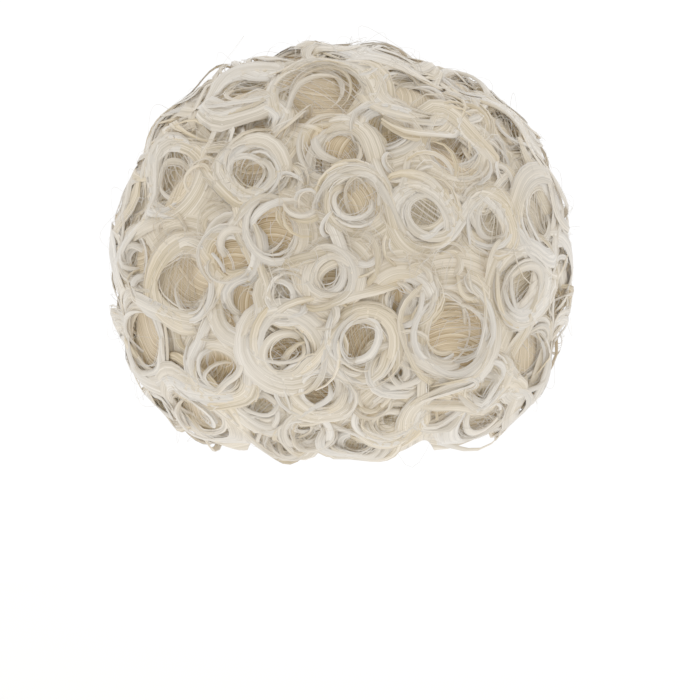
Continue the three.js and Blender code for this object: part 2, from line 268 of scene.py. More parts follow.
# %% Measures along a lock
ROOT_PART, TIP_PART = 0.4, 0.4
NARROW_ROOT, ROOT_TAPER, TIP_TAPER = 0.3, 0.2, 0.25


def ease(t):
    t = np.clip(t, 0, 1)
    return t * t * (3 - 2 * t)


def measure(values, s):
    """Runs smoothly from the root's value to the ring's, and on to the tip's."""
    root, ring, tip = values
    return root + (ring - root) * ease(s / ROOT_PART) + (tip - ring) * ease((s - 1 + TIP_PART) / TIP_PART)


def taper(s, tip):
    """Share of the full width along a lock: narrow at the root, and down to the tip's share."""
    root = NARROW_ROOT + (1 - NARROW_ROOT) * ease(s / ROOT_TAPER)
    return root * (1 - (1 - tip) * ease((s - 1 + TIP_TAPER) / TIP_TAPER))


print("share of the width from root to tip:", np.round(taper(np.linspace(0, 1, 5), 0.1), 2))

# %% The path of one lock
STEPS_IN_A_TURN, STEPS_BY_SIZE, FEWEST_STEPS = 10, 0.5 / MM, 8
OVALNESS, RING_TILT, LOCK_TIP = 0.1, 0.09, 0.1
# Over this depth, hair is painted from pale to its fullest golden shade.
PAINTED_SHADE_DEPTH = 26 * MM


def path(points, facing, half, along, depth, tone, **more):
    """Points with the measures that the sweep reads. A single value holds for all of the points."""
    count = len(points)
    half, depth, tone = (np.broadcast_to(value, count) for value in (half, depth, tone))
    facing = np.broadcast_to(facing, (count, 3))
    return dict(points=points, facing=facing, half=half, along=along, depth=depth, tone=tone, **more)


def sheet_path(points, facing, half, depth, tone):
    """A path whose flat side is set square to it."""
    tangent = unit(np.gradient(points, axis=0))
    facing = unit(facing - tangent * np.sum(facing * tangent, axis=1, keepdims=True))
    along = np.append(0, np.cumsum(np.linalg.norm(np.diff(points, axis=0), axis=1)))
    return path(points, facing, half, along, depth, tone, broad=np.cross(tangent, facing))


def lock(curl, rng, start, turns, radius, height, lean, width):
    """One lock about a ring. Its lean is in degrees: 0 stands up like a wall, 90 lies flat."""
    steps = max(FEWEST_STEPS, round(turns * (STEPS_IN_A_TURN + STEPS_BY_SIZE * curl["ring"])))
    s = np.linspace(0, 1, steps + 1)
    angle = curl["root"] + start + curl["turn"] * 2 * math.pi * turns * s
    squash, phase, tilt = rng.uniform(0, OVALNESS), rng.uniform(0, math.pi), rng.normal(0, RING_TILT, 2)
    ring = measure(radius, s) * (1 + squash * np.cos(2 * (angle - phase)))
    rise = measure(height, s) + ring * (tilt[0] * np.cos(angle) + tilt[1] * np.sin(angle))
    outward = np.outer(np.cos(angle), curl["right"]) + np.outer(np.sin(angle), curl["up"])
    points = curl["place"] + outward * ring[:, None] + np.outer(rise, curl["axis"])
    if curl["below"] == 0:
        points = pulled_in(points)
    slant = np.radians(measure(lean, s))[:, None]
    facing = curl["axis"] * np.sin(slant) - outward * np.cos(slant)
    half = 0.5 * measure(width, s) * taper(s, LOCK_TIP)
    # How deep the lock lies sets its painted golden shade.
    depth = np.clip((curl["below"] - rise) / PAINTED_SHADE_DEPTH, 0, 1)
    return sheet_path(points, facing, half, depth, rng.uniform(-1, 1))


trial = np.random.default_rng(1)
flat_loop = lock(curls[0], trial, 0.0, 1.0, [curls[0]["ring"]] * 3, (0, 0, 0), (90, 90, 90), (MM, MM, MM))
print("a lock once round the first ring is", round(flat_loop["along"][-1] / MM), "mm long")

# %% [markdown]
# A lock isn't one clean sheet. Its fibres cling together in wisps, and the wisps part and cross. So
# fine strands lie on each lock in a few wisps. The strands of a wisp start together, drift across the
# lock and spread as they go. They are drawn 0.4 to 1.1 mm wide, much thicker than a fibre, because
# thinner ones wouldn't show.

# %% The strands of a lock
WISP_SCATTER, STRAND_SCATTER, STRAY = 0.2, 0.9 * MM, 0.4
SPREAD_FROM, SPREAD_BY, SWAY_TURNS = 0.4, 1.2, 1.3
LIFT_SHARE, THICKNESS, STRAND_TIP = (0.2, 1.0), (0.6, 1.25), 0.3


def strands_of(sheet, rng, wisps, each, thick, lift, drift):
    """Strands on a lock's face: half width, height above the face and drift, all in metres."""
    strands = []
    total = len(sheet["half"])
    for wisp in range(wisps):
        middle = (2 * wisp + 1) / wisps - 1 + rng.normal(0, WISP_SCATTER)
        sway, phase = drift * rng.normal(), rng.random()
        for _ in range(each):
            part = np.arange(rng.integers(0, total // 4 + 1), rng.integers(3 * total // 4, total))
            s = np.linspace(0, 1, len(part))
            swing = np.sin(math.pi * (SWAY_TURNS * s + phase)) * ease(s / ROOT_TAPER)
            side = middle * sheet["half"][part] + sway * swing
            side = side + rng.normal(0, STRAND_SCATTER) * (SPREAD_FROM + SPREAD_BY * s)
            side = side + STRAY * drift * rng.normal() * s**2
            above = lift * rng.uniform(*LIFT_SHARE) + STRAY * drift * abs(rng.normal()) * s**2
            points = sheet["points"][part] + sheet["broad"][part] * side[:, None]
            points = points + sheet["facing"][part] * above[:, None]
            narrowing = 1 - (1 - STRAND_TIP) * ease((s - 1 + TIP_TAPER) / TIP_TAPER)
            half = thick * rng.uniform(*THICKNESS) * narrowing
            strands.append(path(points, sheet["facing"][part], half, sheet["along"][part],
                                sheet["depth"][part], rng.uniform(-1, 1)))
    return strands


print(len(strands_of(flat_loop, trial, 2, 3, 0.4 * MM, MM, MM)), "strands lie on it in 2 wisps")

# %% [markdown]
# A ring curl is a nest. Two skirts come up from the roots on either side, and on these lie several
# narrow bands, each with its own middle, radius and tilt. The bands make the bright rims. Wide bands
# are set towards the root and tight ones away from it, so they spread on one side of the ring and
# crowd on the other, as a spiral does. No two curls come off the roller alike, so the shares of the
# ring's radius, the depths in millimetres and the lean all vary.

# %% The skirts of one ring curl
SKIRT_TURNS, RING_LEAN = (0.6, 0.9), (100, 118)
SIZE_VARIES, DEPTH_VARIES = (0.92, 1.08), (0.85, 1.15)
# each at root, ring and tip: shares of the ring's radius, depths in mm, leans in degrees
SKIRT_RADIUS, SKIRT_SINK, SKIRT_WIDTH = (1.25, 1.0, 0.9), (16, 6, 12), (0.45, 0.6, 0.3)
DISH_RADIUS, DISH_SINK, DISH_LEAN, DISH_WIDTH = (0.42, 0.42, 0.4), (14, 13, 14), (86, 82, 86), (0.9, 0.9, 0.9)


def leaned(curl, rng, spread, shift=0.0):
    """The same curl with its axis turned a little and moved across."""
    axis = unit(curl["axis"] + rng.normal(0, spread, 3))
    right = unit(curl["right"] - axis * np.dot(curl["right"], axis))
    up = np.cross(axis, right)
    place = curl["place"] + shift * (rng.normal() * right + rng.normal() * up)
    return dict(curl, place=place, axis=axis, right=right, up=up)


def ring_skirts(curl, rng):
    """Two broad sheets that come up from the roots on either side."""
    first = rng.uniform(0, 2 * math.pi)
    skirts = []
    for side in (0, math.pi):
        turns = rng.uniform(*SKIRT_TURNS)
        radius = [curl["ring"] * share * rng.uniform(*SIZE_VARIES) for share in SKIRT_RADIUS]
        height = [-sink * MM * rng.uniform(*DEPTH_VARIES) for sink in SKIRT_SINK]
        lean = (125, rng.uniform(*RING_LEAN), 100)
        width = [curl["ring"] * share * rng.uniform(*SIZE_VARIES) for share in SKIRT_WIDTH]
        skirts.append(lock(curl, rng, first + side, turns, radius, height, lean, width))
    return skirts


def ring_dish(curl, rng):
    """A sheet that closes the hole from behind, for rings that hang below the other hair."""
    radius, width = ([share * curl["ring"] for share in shares] for shares in (DISH_RADIUS, DISH_WIDTH))
    return lock(curl, rng, 0.0, 1.3, radius, [-sink * MM for sink in DISH_SINK], DISH_LEAN, width)


print("skirts of the first curl, mm long:",
      [round(skirt["along"][-1] / MM) for skirt in ring_skirts(curls[0], trial)])

# %% The bands of one ring curl
BAND_WIDTH, BAND_TURNS, BAND_START = (2.5, 8), (0.5, 1.35), 1.6
BAND_SINK, BAND_LEAN = (0.5, 6), (55, 110)
SMALLEST_BAND, BAND_RANGE, MEAN_BAND = 0.55, 0.55, 0.75
NEST_OFFSET, NEST_LEAN, NEST_SHIFT = 0.5, 0.2, 0.14


def ring_loops(curl, rng, count):
    """Narrow bands of hair that make the rims of the nest."""
    loops = []
    for k in range(count):
        nest = leaned(curl, rng, NEST_LEAN, shift=NEST_SHIFT * curl["ring"])
        radius = curl["ring"] * (SMALLEST_BAND + BAND_RANGE * (k + rng.random()) / count)
        offset = NEST_OFFSET * (radius - MEAN_BAND * curl["ring"])
        nest["place"] = nest["place"] + offset * rootward(nest)
        width = rng.uniform(*BAND_WIDTH) * MM
        start, turns = rng.normal(0, BAND_START), rng.uniform(*BAND_TURNS)
        height = (-14 * MM, -rng.uniform(*BAND_SINK) * MM, -10 * MM)
        lean = (112, rng.uniform(*BAND_LEAN), 60)
        loops.append(lock(nest, rng, start, turns, (1.3 * radius, radius, 0.72 * radius), height, lean,
                          (width, width, 0.5 * width)))
    return loops


print("bands of the first curl, mm long:",
      [round(loop["along"][-1] / MM) for loop in ring_loops(curls[0], trial, 8)])

# %% [markdown]
# One doesn't look into a ring as into a pipe. Fine fibres cross the hole side by side and sag in the
# middle, deeper where the hole is open.

# %% The fibres across a hole
FIBRE_POINTS, FIBRE_HALF, FIBRE_SAG, FIBRE_RISE = 9, (0.16, 0.36), (13, 17), 8
FAN, BOW, ASKEW, FAN_REACH, FIBRE_REACH = 0.5, 0.3, 0.12, 0.7, 0.85
CLOSED_SAG = 0.3


def hole_fibres(curl, rng, count):
    """Fine fibres that cross the hole side by side, in a sagging fan."""
    fibres = []
    s = np.linspace(0, 1, FIBRE_POINTS)
    heading, fan, bow = rng.uniform(0, 2 * math.pi), rng.normal(0, FAN), rng.normal(0, BOW)
    for k in range(count):
        side = (2 * (k + rng.random()) / count - 1) * FAN_REACH
        run = (2 * s - 1) * math.sqrt(1 - 0.8 * side**2) * FIBRE_REACH
        angle = heading + fan * side + rng.normal(0, ASKEW)
        x = run * math.cos(angle) - (side + bow * run**2) * math.sin(angle)
        y = run * math.sin(angle) + (side + bow * run**2) * math.cos(angle)
        sag = (-rng.uniform(*FIBRE_SAG) + FIBRE_RISE * (2 * s - 1) ** 2) * MM
        rise = sag * (CLOSED_SAG + (1 - CLOSED_SAG) * curl["openness"])
        points = curl["place"] + curl["ring"] * (np.outer(x, curl["right"]) + np.outer(y, curl["up"]))
        points = points + np.outer(rise, curl["axis"])
        # Fibres that sag deeper are painted in more golden shade.
        half, depth = rng.uniform(*FIBRE_HALF) * MM, np.clip(-rise / PAINTED_SHADE_DEPTH, 0, 1)
        along = 2 * FIBRE_REACH * curl["ring"] * s
        fibres.append(path(points, curl["axis"], half, along, depth, rng.uniform(-1, 1)))
    return fibres


print("fibres across the first hole:", len(hole_fibres(curls[0], trial, 18)))

# %% [markdown]
# Hair doesn't stop at the edge of its ring. Long locks leave one curl, swing over to the next and turn
# the other way round it, so the rings hang together in waves. A wave here is an arc round one curl
# joined to an arc round its neighbour, and the joint is smoothed by averaging.

# %% Waves from curl to curl
WAVE_STEPS, WAVE_REACH, WAVE_RADIUS = 10, (1.7, 3.0), (0.8, 1.15)
WAVE_ROLL, WAVE_HALF, SMOOTHINGS, NEIGHBOURS = 0.35, (0.06, 0.28), 6, 5
WAVE_SINK, WAVE_ROOT, WAVE_END, WAVE_TIP = 2 * MM, 18 * MM, 14 * MM, 0.15
RISES_OVER, FALLS_FROM = 0.35, 0.6


def wave(here, there, rng):
    """A lock that goes part of the way round one curl, then the other way round its neighbour."""
    across = unit(there["place"] - here["place"])
    s = np.linspace(0, 1, 2 * WAVE_STEPS)
    rise = -WAVE_SINK - WAVE_ROOT * (1 - ease(s / RISES_OVER))
    rise = rise - WAVE_END * ease((s - FALLS_FROM) / (1 - FALLS_FROM))
    halves = []
    for curl, toward, sign in ((here, across, 1), (there, -across, -1)):
        meeting = math.atan2(np.dot(toward, curl["up"]), np.dot(toward, curl["right"]))
        reach = rng.uniform(*WAVE_REACH)
        turned = np.linspace(-reach, 0, WAVE_STEPS) if sign == 1 else np.linspace(0, reach, WAVE_STEPS)
        angle = meeting + sign * here["turn"] * turned
        outward = np.outer(np.cos(angle), curl["right"]) + np.outer(np.sin(angle), curl["up"])
        radius = curl["ring"] * rng.uniform(*WAVE_RADIUS)
        lifted = np.outer(rise[:WAVE_STEPS] if sign == 1 else rise[WAVE_STEPS:], curl["axis"])
        halves.append(curl["place"] + outward * radius + lifted)
    points = np.concatenate(halves)
    for _ in range(SMOOTHINGS):
        points[1:-1] = 0.5 * points[1:-1] + 0.25 * (points[:-2] + points[2:])
    points = pulled_in(points)
    away = unit(points - hair_middle)
    sideways = np.cross(unit(np.gradient(points, axis=0)), away)
    facing = np.outer(1 - s, here["axis"]) + np.outer(s, there["axis"]) + rng.normal(0, WAVE_ROLL) * sideways
    half = rng.uniform(*WAVE_HALF) * here["ring"] * taper(s, WAVE_TIP)
    # Wave locks that lie below the form are painted in golden shade, more so the further below.
    below = reach_of(away) - np.linalg.norm(points - hair_middle, axis=1)
    return sheet_path(points, facing, half, np.clip(below / PAINTED_SHADE_DEPTH, 0, 1), rng.uniform(-1, 1))


def waves_from(here, rng, count):
    """Waves to a few of the nearest neighbours of a curl."""
    near = sorted(curls, key=lambda other: np.linalg.norm(other["place"] - here["place"]))[1:NEIGHBOURS + 1]
    return [wave(here, near[k], rng) for k in rng.permutation(len(near))[:count]]


print("waves from the first curl, mm long:",
      [round(band["along"][-1] / MM) for band in waves_from(curls[0], trial, 2)])

# %% [markdown]
# ## Sweep the locks with Geometry Nodes
# The paths become a mesh of bare edges that carries its sizes as attributes: half width, the way the
# flat side faces, length along, depth in the hair and tone. A node tree turns the edges to curves and
# sweeps a flat lens along them. The lens can be arched, so a sheet is a little rounded across, and
# rippled, so it has the soft ridges of hair that lies in strands. One tree serves sheets, bands,
# strands and single fibres, because the lens is an input.

# %% Small helpers for nodes
def add(tree, kind, settings=(), **links):
    """Adds a node. Settings are its properties. Links are its inputs: a node, a socket or a value."""
    node = tree.nodes.new(kind)
    for name, value in dict(settings).items():
        setattr(node, name, value)
    for name, value in links.items():
        key = int(name[1:]) if name[0] == "i" and name[1:].isdigit() else name.replace("_", " ")
        if isinstance(value, bpy.types.Node):
            value = value.outputs[0]
        if isinstance(value, bpy.types.NodeSocket):
            tree.links.new(value, node.inputs[key])
        else:
            node.inputs[key].default_value = value
    return node


MATH = "ShaderNodeMath"
MULTIPLY, MULTIPLY_ADD, SUBTRACT = ({"operation": name} for name in ("MULTIPLY", "MULTIPLY_ADD", "SUBTRACT"))


def new_tree(name, inputs, output):
    """An empty tree for geometry with named inputs and one output."""
    tree = bpy.data.node_groups.new(name, "GeometryNodeTree")
    for title, kind in inputs.items():
        tree.interface.new_socket(title, in_out="INPUT", socket_type="NodeSocket" + kind)
    tree.interface.new_socket(output, in_out="OUTPUT", socket_type="NodeSocketGeometry")
    return tree


# %% The lens that is swept
def lens_nodes(tree, given):
    """A circle, pressed flat and arched, that keeps its place from edge to edge as an attribute."""
    lens = add(tree, "GeometryNodeCurvePrimitiveCircle", {"mode": "RADIUS"}, Resolution=given["Sides"],
               Radius=1.0)
    place = add(tree, "ShaderNodeSeparateXYZ", Vector=add(tree, "GeometryNodeInputPosition"))
    edge = place.outputs["Y"]
    thick = add(tree, MATH, MULTIPLY, i0=place.outputs["X"], i1=given["Flatness"])
    square = add(tree, MATH, MULTIPLY, i0=edge, i1=edge)
    crown = add(tree, MATH, SUBTRACT, i0=1.0, i1=square)
    arched = add(tree, MATH, MULTIPLY_ADD, i0=crown, i1=given["Arch"], i2=thick)
    moved = add(tree, "ShaderNodeCombineXYZ", X=arched, Y=edge)
    lens = add(tree, "GeometryNodeStoreNamedAttribute", Geometry=lens, Name="across", Value=edge)
    return add(tree, "GeometryNodeSetPosition", Geometry=lens, Position=moved)


# %% The sweeping tree
RIDGE_LENGTH, RIDGE_WIDTH, TONE_SHIFT = 55 * MM, 4 * MM, 0.7


def sweep_tree():
    inputs = dict(Paths="Geometry", Sides="Int", Flatness="Float", Arch="Float", Ripple="Float",
                  Smooth="Bool", Hair="Material")
    tree = new_tree("Sweep locks", inputs, "Locks")
    given = add(tree, "NodeGroupInput").outputs
    facing = add(tree, "GeometryNodeInputNamedAttribute", {"data_type": "FLOAT_VECTOR"}, Name="facing")
    measured = {}
    for name in ("half", "across", "tone", "along"):
        measured[name] = add(tree, "GeometryNodeInputNamedAttribute", {"data_type": "FLOAT"}, Name=name)
    half = measured["half"]
    paths = add(tree, "GeometryNodeMeshToCurve", Mesh=given["Paths"])
    paths = add(tree, "GeometryNodeSetCurveNormal", {"mode": "FREE"}, Curve=paths, Normal=facing)
    swept = add(tree, "GeometryNodeCurveToMesh", Curve=paths, i1=lens_nodes(tree, given), Scale=half,
                Fill_Caps=True)
    side = add(tree, MATH, MULTIPLY, i0=measured["across"], i1=half)
    side = add(tree, MATH, MULTIPLY_ADD, i0=measured["tone"], i1=TONE_SHIFT, i2=side)
    strand = add(tree, "ShaderNodeCombineXYZ", X=measured["along"], Y=side)
    drawn = add(tree, "ShaderNodeVectorMath", {"operation": "MULTIPLY"}, i0=strand,
                i1=(1 / RIDGE_LENGTH, 1 / RIDGE_WIDTH, 1.0))
    ridge = add(tree, "ShaderNodeTexNoise", Vector=drawn, Scale=1.0, Detail=1.0)
    height = add(tree, MATH, SUBTRACT, i0=ridge.outputs["Fac"], i1=0.5)
    height = add(tree, MATH, MULTIPLY, i0=height, i1=given["Ripple"])
    normal = add(tree, "GeometryNodeInputNormal")
    raised = add(tree, "ShaderNodeVectorMath", {"operation": "SCALE"}, i0=normal, Scale=height)
    swept = add(tree, "GeometryNodeSetPosition", Geometry=swept, Offset=raised)
    swept = add(tree, "GeometryNodeStoreNamedAttribute", {"data_type": "FLOAT2", "domain": "CORNER"},
                Geometry=swept, Name="strand_uv", Value=strand)
    swept = add(tree, "GeometryNodeSetShadeSmooth", Geometry=swept, Shade_Smooth=given["Smooth"])
    swept = add(tree, "GeometryNodeRealizeInstances", Geometry=swept)
    swept = add(tree, "GeometryNodeSetMaterial", Geometry=swept, Material=given["Hair"])
    add(tree, "NodeGroupOutput", Locks=swept)
    return tree


sweep = sweep_tree()
print("sweeping tree:", len(sweep.nodes), "nodes")

# %% [markdown]
# A modifier runs the tree on an object. The result is kept as a plain mesh and the modifier is taken
# off again, so nothing in the finished scene depends on it.

# %% Run a tree on an object and keep a plain mesh
def placed(name, data):
    """A new object at the origin, in the scene."""
    thing = bpy.data.objects.new(name, data)
    bpy.context.scene.collection.objects.link(thing)
    return thing


def baked(thing, tree, **inputs):
    """Runs a tree on an object, swaps the object's mesh for the plain result and drops the modifier."""
    modifier = thing.modifiers.new("shape", "NODES")
    modifier.node_group = tree
    for socket in tree.interface.items_tree:
        if socket.in_out == "INPUT" and socket.name in inputs:
            modifier[socket.identifier] = inputs[socket.name]
    evaluated = thing.evaluated_get(bpy.context.evaluated_depsgraph_get())
    mesh = bpy.data.meshes.new_from_object(evaluated)
    thing.modifiers.remove(modifier)
    thing.data = mesh
    mesh.name = thing.name
    return thing


# %% Paths to a mesh of edges, and swept parts to one piece
def path_object(name, paths):
    """Paths as one mesh of edges with their attributes."""
    def gathered(key):
        return np.concatenate([p[key] for p in paths])

    ends = np.cumsum([len(p["half"]) for p in paths])
    chain = np.arange(ends[-1] - 1)
    chain = chain[~np.isin(chain, ends[:-1] - 1)]
    mesh = bpy.data.meshes.new(name)
    mesh.from_pydata(gathered("points").tolist(), np.stack((chain, chain + 1), 1).tolist(), [])
    for key in ("half", "along", "depth", "tone"):
        layer = mesh.attributes.new(key, "FLOAT", "POINT")
        layer.data.foreach_set("value", gathered(key).astype(np.float32))
    layer = mesh.attributes.new("facing", "FLOAT_VECTOR", "POINT")
    layer.data.foreach_set("vector", gathered("facing").astype(np.float32).ravel())
    return placed(name, mesh)


def joined(name, parts):
    """Joins swept objects of one finish to one mesh and removes the parts."""
    whole, data = bmesh.new(), bpy.data.meshes.new(name)
    data.materials.append(parts[0].data.materials[0])
    for part in parts:
        whole.from_mesh(part.data)
        bpy.data.objects.remove(part)
    whole.to_mesh(data)
    whole.free()
    return placed(name, data)


# %% [markdown]
# ## Synthetic hair, platinum blonde
# The fibre is a drawn acrylic, pale and soft in its shine. What the eye reads as hair is the streaks, because
# each fibre catches the light at its own angle. A real fibre is 0.07 mm thick, far below one pixel here, so
# the streaks are drawn coarser, 0.8 and 3.2 mm wide. Hair that lies deep in the curls is in shade, and that
# shade is painted into its colour as gold, because the light that reaches it has come through other hair;
# there pale and golden strands lie side by side.

# %% Colours
# Platinum is the hair's own colour. Cream, honey and the deep gold are painted shade, for hair that lies deep
# in the curls and in the holes.
PLATINUM, CREAM_SHADE, HONEY_SHADE, GOLD_HOLE_SHADE = "#E2D8C7", "#E3CA9D", "#DCB876", "#C59448"
FINE_STREAK, BROAD_STREAK = (70 * MM, 0.8 * MM), (90 * MM, 3.2 * MM)


def linear(code):
    """An sRGB hex colour as linear red, green, blue and alpha."""
    parts = [int(code[i:i + 2], 16) / 255 for i in (1, 3, 5)]
    return tuple(p / 12.92 if p <= 0.04045 else ((p + 0.055) / 1.055) ** 2.4 for p in parts) + (1.0,)


# %% The streaks of the hair
def streak_nodes(tree):
    """Fine and broad streaks along the strands, from 0 to 1 about a mean of 0.5."""
    strand = add(tree, "ShaderNodeUVMap", {"uv_map": "strand_uv"})
    (fine_length, fine_width), (broad_length, broad_width) = FINE_STREAK, BROAD_STREAK
    fine = add(tree, "ShaderNodeMapping", Vector=strand, Scale=(1 / fine_length, 1 / fine_width, 1.0))
    fine = add(tree, "ShaderNodeTexNoise", Vector=fine, Scale=1.0, Detail=3.0, Roughness=0.6)
    broad = add(tree, "ShaderNodeMapping", Vector=strand, Scale=(1 / broad_length, 1 / broad_width, 1.0))
    broad = add(tree, "ShaderNodeTexNoise", Vector=broad, Scale=1.0, Detail=1.0)
    share = add(tree, MATH, MULTIPLY, i0=fine.outputs["Fac"], i1=0.6)
    return add(tree, MATH, MULTIPLY_ADD, i0=broad.outputs["Fac"], i1=0.4, i2=share)


# %% The hair material
def hair_material(name, shallow, deep, deepest):
    """Pale hair in light and dark streaks, with a painted golden shade where it lies deep, and a soft shine.
    """
    material = bpy.data.materials.new(name)
    material.use_nodes = True
    tree = material.node_tree
    shader = tree.nodes["Principled BSDF"]
    tone = add(tree, "ShaderNodeAttribute", {"attribute_name": "tone"}).outputs["Fac"]
    depth = add(tree, "ShaderNodeAttribute", {"attribute_name": "depth"}).outputs["Fac"]
    both = streak_nodes(tree)
    # Streaks darken and brighten the hair, more so where it lies deep.
    shade = add(tree, "ShaderNodeMapRange", Value=both, From_Min=0.38, From_Max=0.62, To_Min=0.5, To_Max=1.14)
    streak = add(tree, MATH, SUBTRACT, i0=shade, i1=1.0)
    force = add(tree, MATH, MULTIPLY_ADD, i0=depth, i1=0.8, i2=0.8)
    shade = add(tree, MATH, MULTIPLY_ADD, i0=streak, i1=force, i2=1.0)
    shade = add(tree, MATH, MULTIPLY_ADD, i0=tone, i1=0.05, i2=shade)
    # Depth paints a golden shade into the colour, and the streaks mix pale strands with golden shaded ones in
    # deep places.
    pale = add(tree, MATH, SUBTRACT, i0=0.5, i1=both)
    force = add(tree, MATH, MULTIPLY, i0=depth, i1=4.0)
    mixed = add(tree, MATH, MULTIPLY, i0=pale, i1=force)
    mixed = add(tree, MATH, MULTIPLY_ADD, i0=tone, i1=-0.12, i2=mixed)
    golden_shade = add(tree, MATH, MULTIPLY_ADD, i0=depth, i1=0.85, i2=mixed)
    ramp = add(tree, "ShaderNodeValToRGB", Fac=golden_shade)
    ramp.color_ramp.elements[0].color = linear(shallow)
    ramp.color_ramp.elements[1].color = linear(deepest)
    ramp.color_ramp.elements.new(0.38).color = linear(deep)
    colour = add(tree, "ShaderNodeVectorMath", {"operation": "SCALE"}, i0=ramp, Scale=shade)
    bump = add(tree, "ShaderNodeBump", Strength=0.6, Distance=0.5 * MM, Height=both)
    tree.links.new(colour.outputs[0], shader.inputs["Base Color"])
    tree.links.new(bump.outputs[0], shader.inputs["Normal"])
    shader.inputs["Roughness"].default_value = 0.5
    shader.inputs["Specular IOR Level"].default_value = 0.35
    shader.inputs["Sheen Weight"].default_value = 0.2
    shader.inputs["Sheen Roughness"].default_value = 0.5
    return material


# The locks are painted from platinum down to a cream and honey shade where they lie deep.
hair = hair_material("synthetic hair, platinum", PLATINUM, CREAM_SHADE, HONEY_SHADE)
print("material:", hair.name)

# %% [markdown]
# ## The six fields of curls
# Each field gathers the locks of its curls in one piece: broad sheets, narrow bands, flat strands and
# round fibres, each swept with a lens of its own. The seed is fixed for each field, so the hair falls
# the same way every time.

# %% Lenses and strands
SHEET = dict(Sides=10, Flatness=0.1, Arch=0.24, Ripple=2.0 * MM, Smooth=True)
BAND = dict(Sides=6, Flatness=0.16, Arch=0.3, Ripple=0.0, Smooth=True)
STRAND = dict(Sides=3, Flatness=0.3, Arch=0.0, Ripple=0.0, Smooth=False)
FIBRE = dict(Sides=3, Flatness=1.0, Arch=0.0, Ripple=0.0, Smooth=True)
SKIRT_STRANDS = dict(wisps=3, each=2, thick=0.45 * MM, lift=0.9 * MM, drift=2.6 * MM)
BAND_STRANDS = dict(wisps=1, each=3, thick=0.34 * MM, lift=1.2 * MM, drift=3.6 * MM)
WAVE_STRANDS = dict(BAND_STRANDS, wisps=2, each=2)


def places_of(thing):
    places = np.empty(3 * len(thing.data.vertices), np.float32)
    thing.data.vertices.foreach_get("co", places)
    return places.reshape(-1, 3).astype(float)


def held(thing):
    """Keeps a piece of hair within the outer form."""
    thing.data.vertices.foreach_set("co", pulled_in(places_of(thing)).astype(np.float32).ravel())
    return thing


def swept(name, *layers):
    """Sweeps each layer of paths with its own lens and joins the layers."""
    return joined(name, [baked(path_object(f"{name}_{k}", paths), sweep, Hair=hair, **lens)
                         for k, (paths, lens) in enumerate(layers)])


# %% Make the fields
BANDS_IN_A_RING, FIBRES_IN_A_HOLE, CURL_LEAN = 8, 18, 0.1
FEWEST_WAVES, ONE_MORE_WAVE = 2, 0.5
HANGS_BELOW = -190 * MM
pieces = []

for seed, (name, group) in enumerate(sorted(fields.items())):
    rng = np.random.default_rng(100 + seed)
    sheets, bands, strands, fibres = [], [], [], []
    for curl in group:
        curl = leaned(curl, rng, CURL_LEAN)
        skirts = ring_skirts(curl, rng)
        sheets += skirts
        if curl["place"][2] < HANGS_BELOW:
            sheets.append(ring_dish(curl, rng))
        for skirt in skirts:
            strands += strands_of(skirt, rng, **SKIRT_STRANDS)
        for band in ring_loops(curl, rng, BANDS_IN_A_RING):
            bands.append(band)
            strands += strands_of(band, rng, **BAND_STRANDS)
        for band in waves_from(curl, rng, FEWEST_WAVES + int(rng.random() < ONE_MORE_WAVE)):
            bands.append(band)
            strands += strands_of(band, rng, **WAVE_STRANDS)
        fibres += hole_fibres(curl, rng, FIBRES_IN_A_HOLE)
    field = held(swept(name + "_hair", (sheets, SHEET), (bands, BAND), (strands, STRAND), (fibres, FIBRE)))
    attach(field, "root")
    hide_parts(name)
    pieces.append(field)
    print(name, len(sheets + bands), "locks,", len(strands), "strands,", len(field.data.polygons), "faces")

# %% [markdown]
# ## The hair underneath
# Between and below the rings one looks on more hair. Its bulk is one closed form: the outer form, drawn
# in a little under the rims and deep in the open holes, with the head and the face cut out of it. A
# boolean does the cutting, as a knife would. A closed bulk also keeps light from shining through.

# %% Ovals and slabs
def finished(name, mesh):
    """A worked-out mesh as an object, with its faces turned outwards."""
    bmesh.ops.recalc_face_normals(mesh, faces=mesh.faces)
    data = bpy.data.meshes.new(name)
    mesh.to_mesh(data)
    mesh.free()
    return placed(name, data)


def oval(name, profile, half_width, back, front, around=96):
    """A closed oval from rows of (share of girth, level), with its own reach to each side."""
    mesh = bmesh.new()
    rings = []
    for share, level in profile:
        if share == 0:
            rings.append([mesh.verts.new((0, 0, level))] * around)
            continue
        turns = [2 * math.pi * k / around for k in range(around)]
        rings.append([mesh.verts.new((share * half_width * math.cos(t),
                                      share * math.sin(t) * (front if math.sin(t) > 0 else back), level))
                      for t in turns])
    for low, high in zip(rings, rings[1:]):
        for k in range(around):
            corners = [low[k], low[(k + 1) % around], high[(k + 1) % around], high[k]]
            mesh.faces.new(list(dict.fromkeys(corners)))
    return finished(name, mesh)


def slab(name, near, far):
    """A closed slab between two outlines with the same number of points."""
    mesh = bmesh.new()
    near, far = ([mesh.verts.new(point) for point in outline] for outline in (near, far))
    mesh.faces.new(near)
    mesh.faces.new(far[::-1])
    for k in range(len(near)):
        following = (k + 1) % len(near)
        mesh.faces.new((near[following], near[k], far[k], far[following]))
    return finished(name, mesh)


# %% Cut one form with another
def carve(thing, cutter, operation="DIFFERENCE"):
    """Cuts a closed form with another, keeps the plain result and removes the cutter."""
    modifier = thing.modifiers.new("cut", "BOOLEAN")
    modifier.operation, modifier.solver, modifier.object = operation, "EXACT", cutter
    data = bpy.data.meshes.new_from_object(thing.evaluated_get(bpy.context.evaluated_depsgraph_get()))
    thing.modifiers.remove(modifier)
    thing.data = data
    bpy.data.objects.remove(cutter)
    return thing


# %% The forms of head, hair and face
HEAD_HALF_WIDTH, HEAD_REACH, HEAD_UP = 76 * MM, 98 * MM, 95 * MM
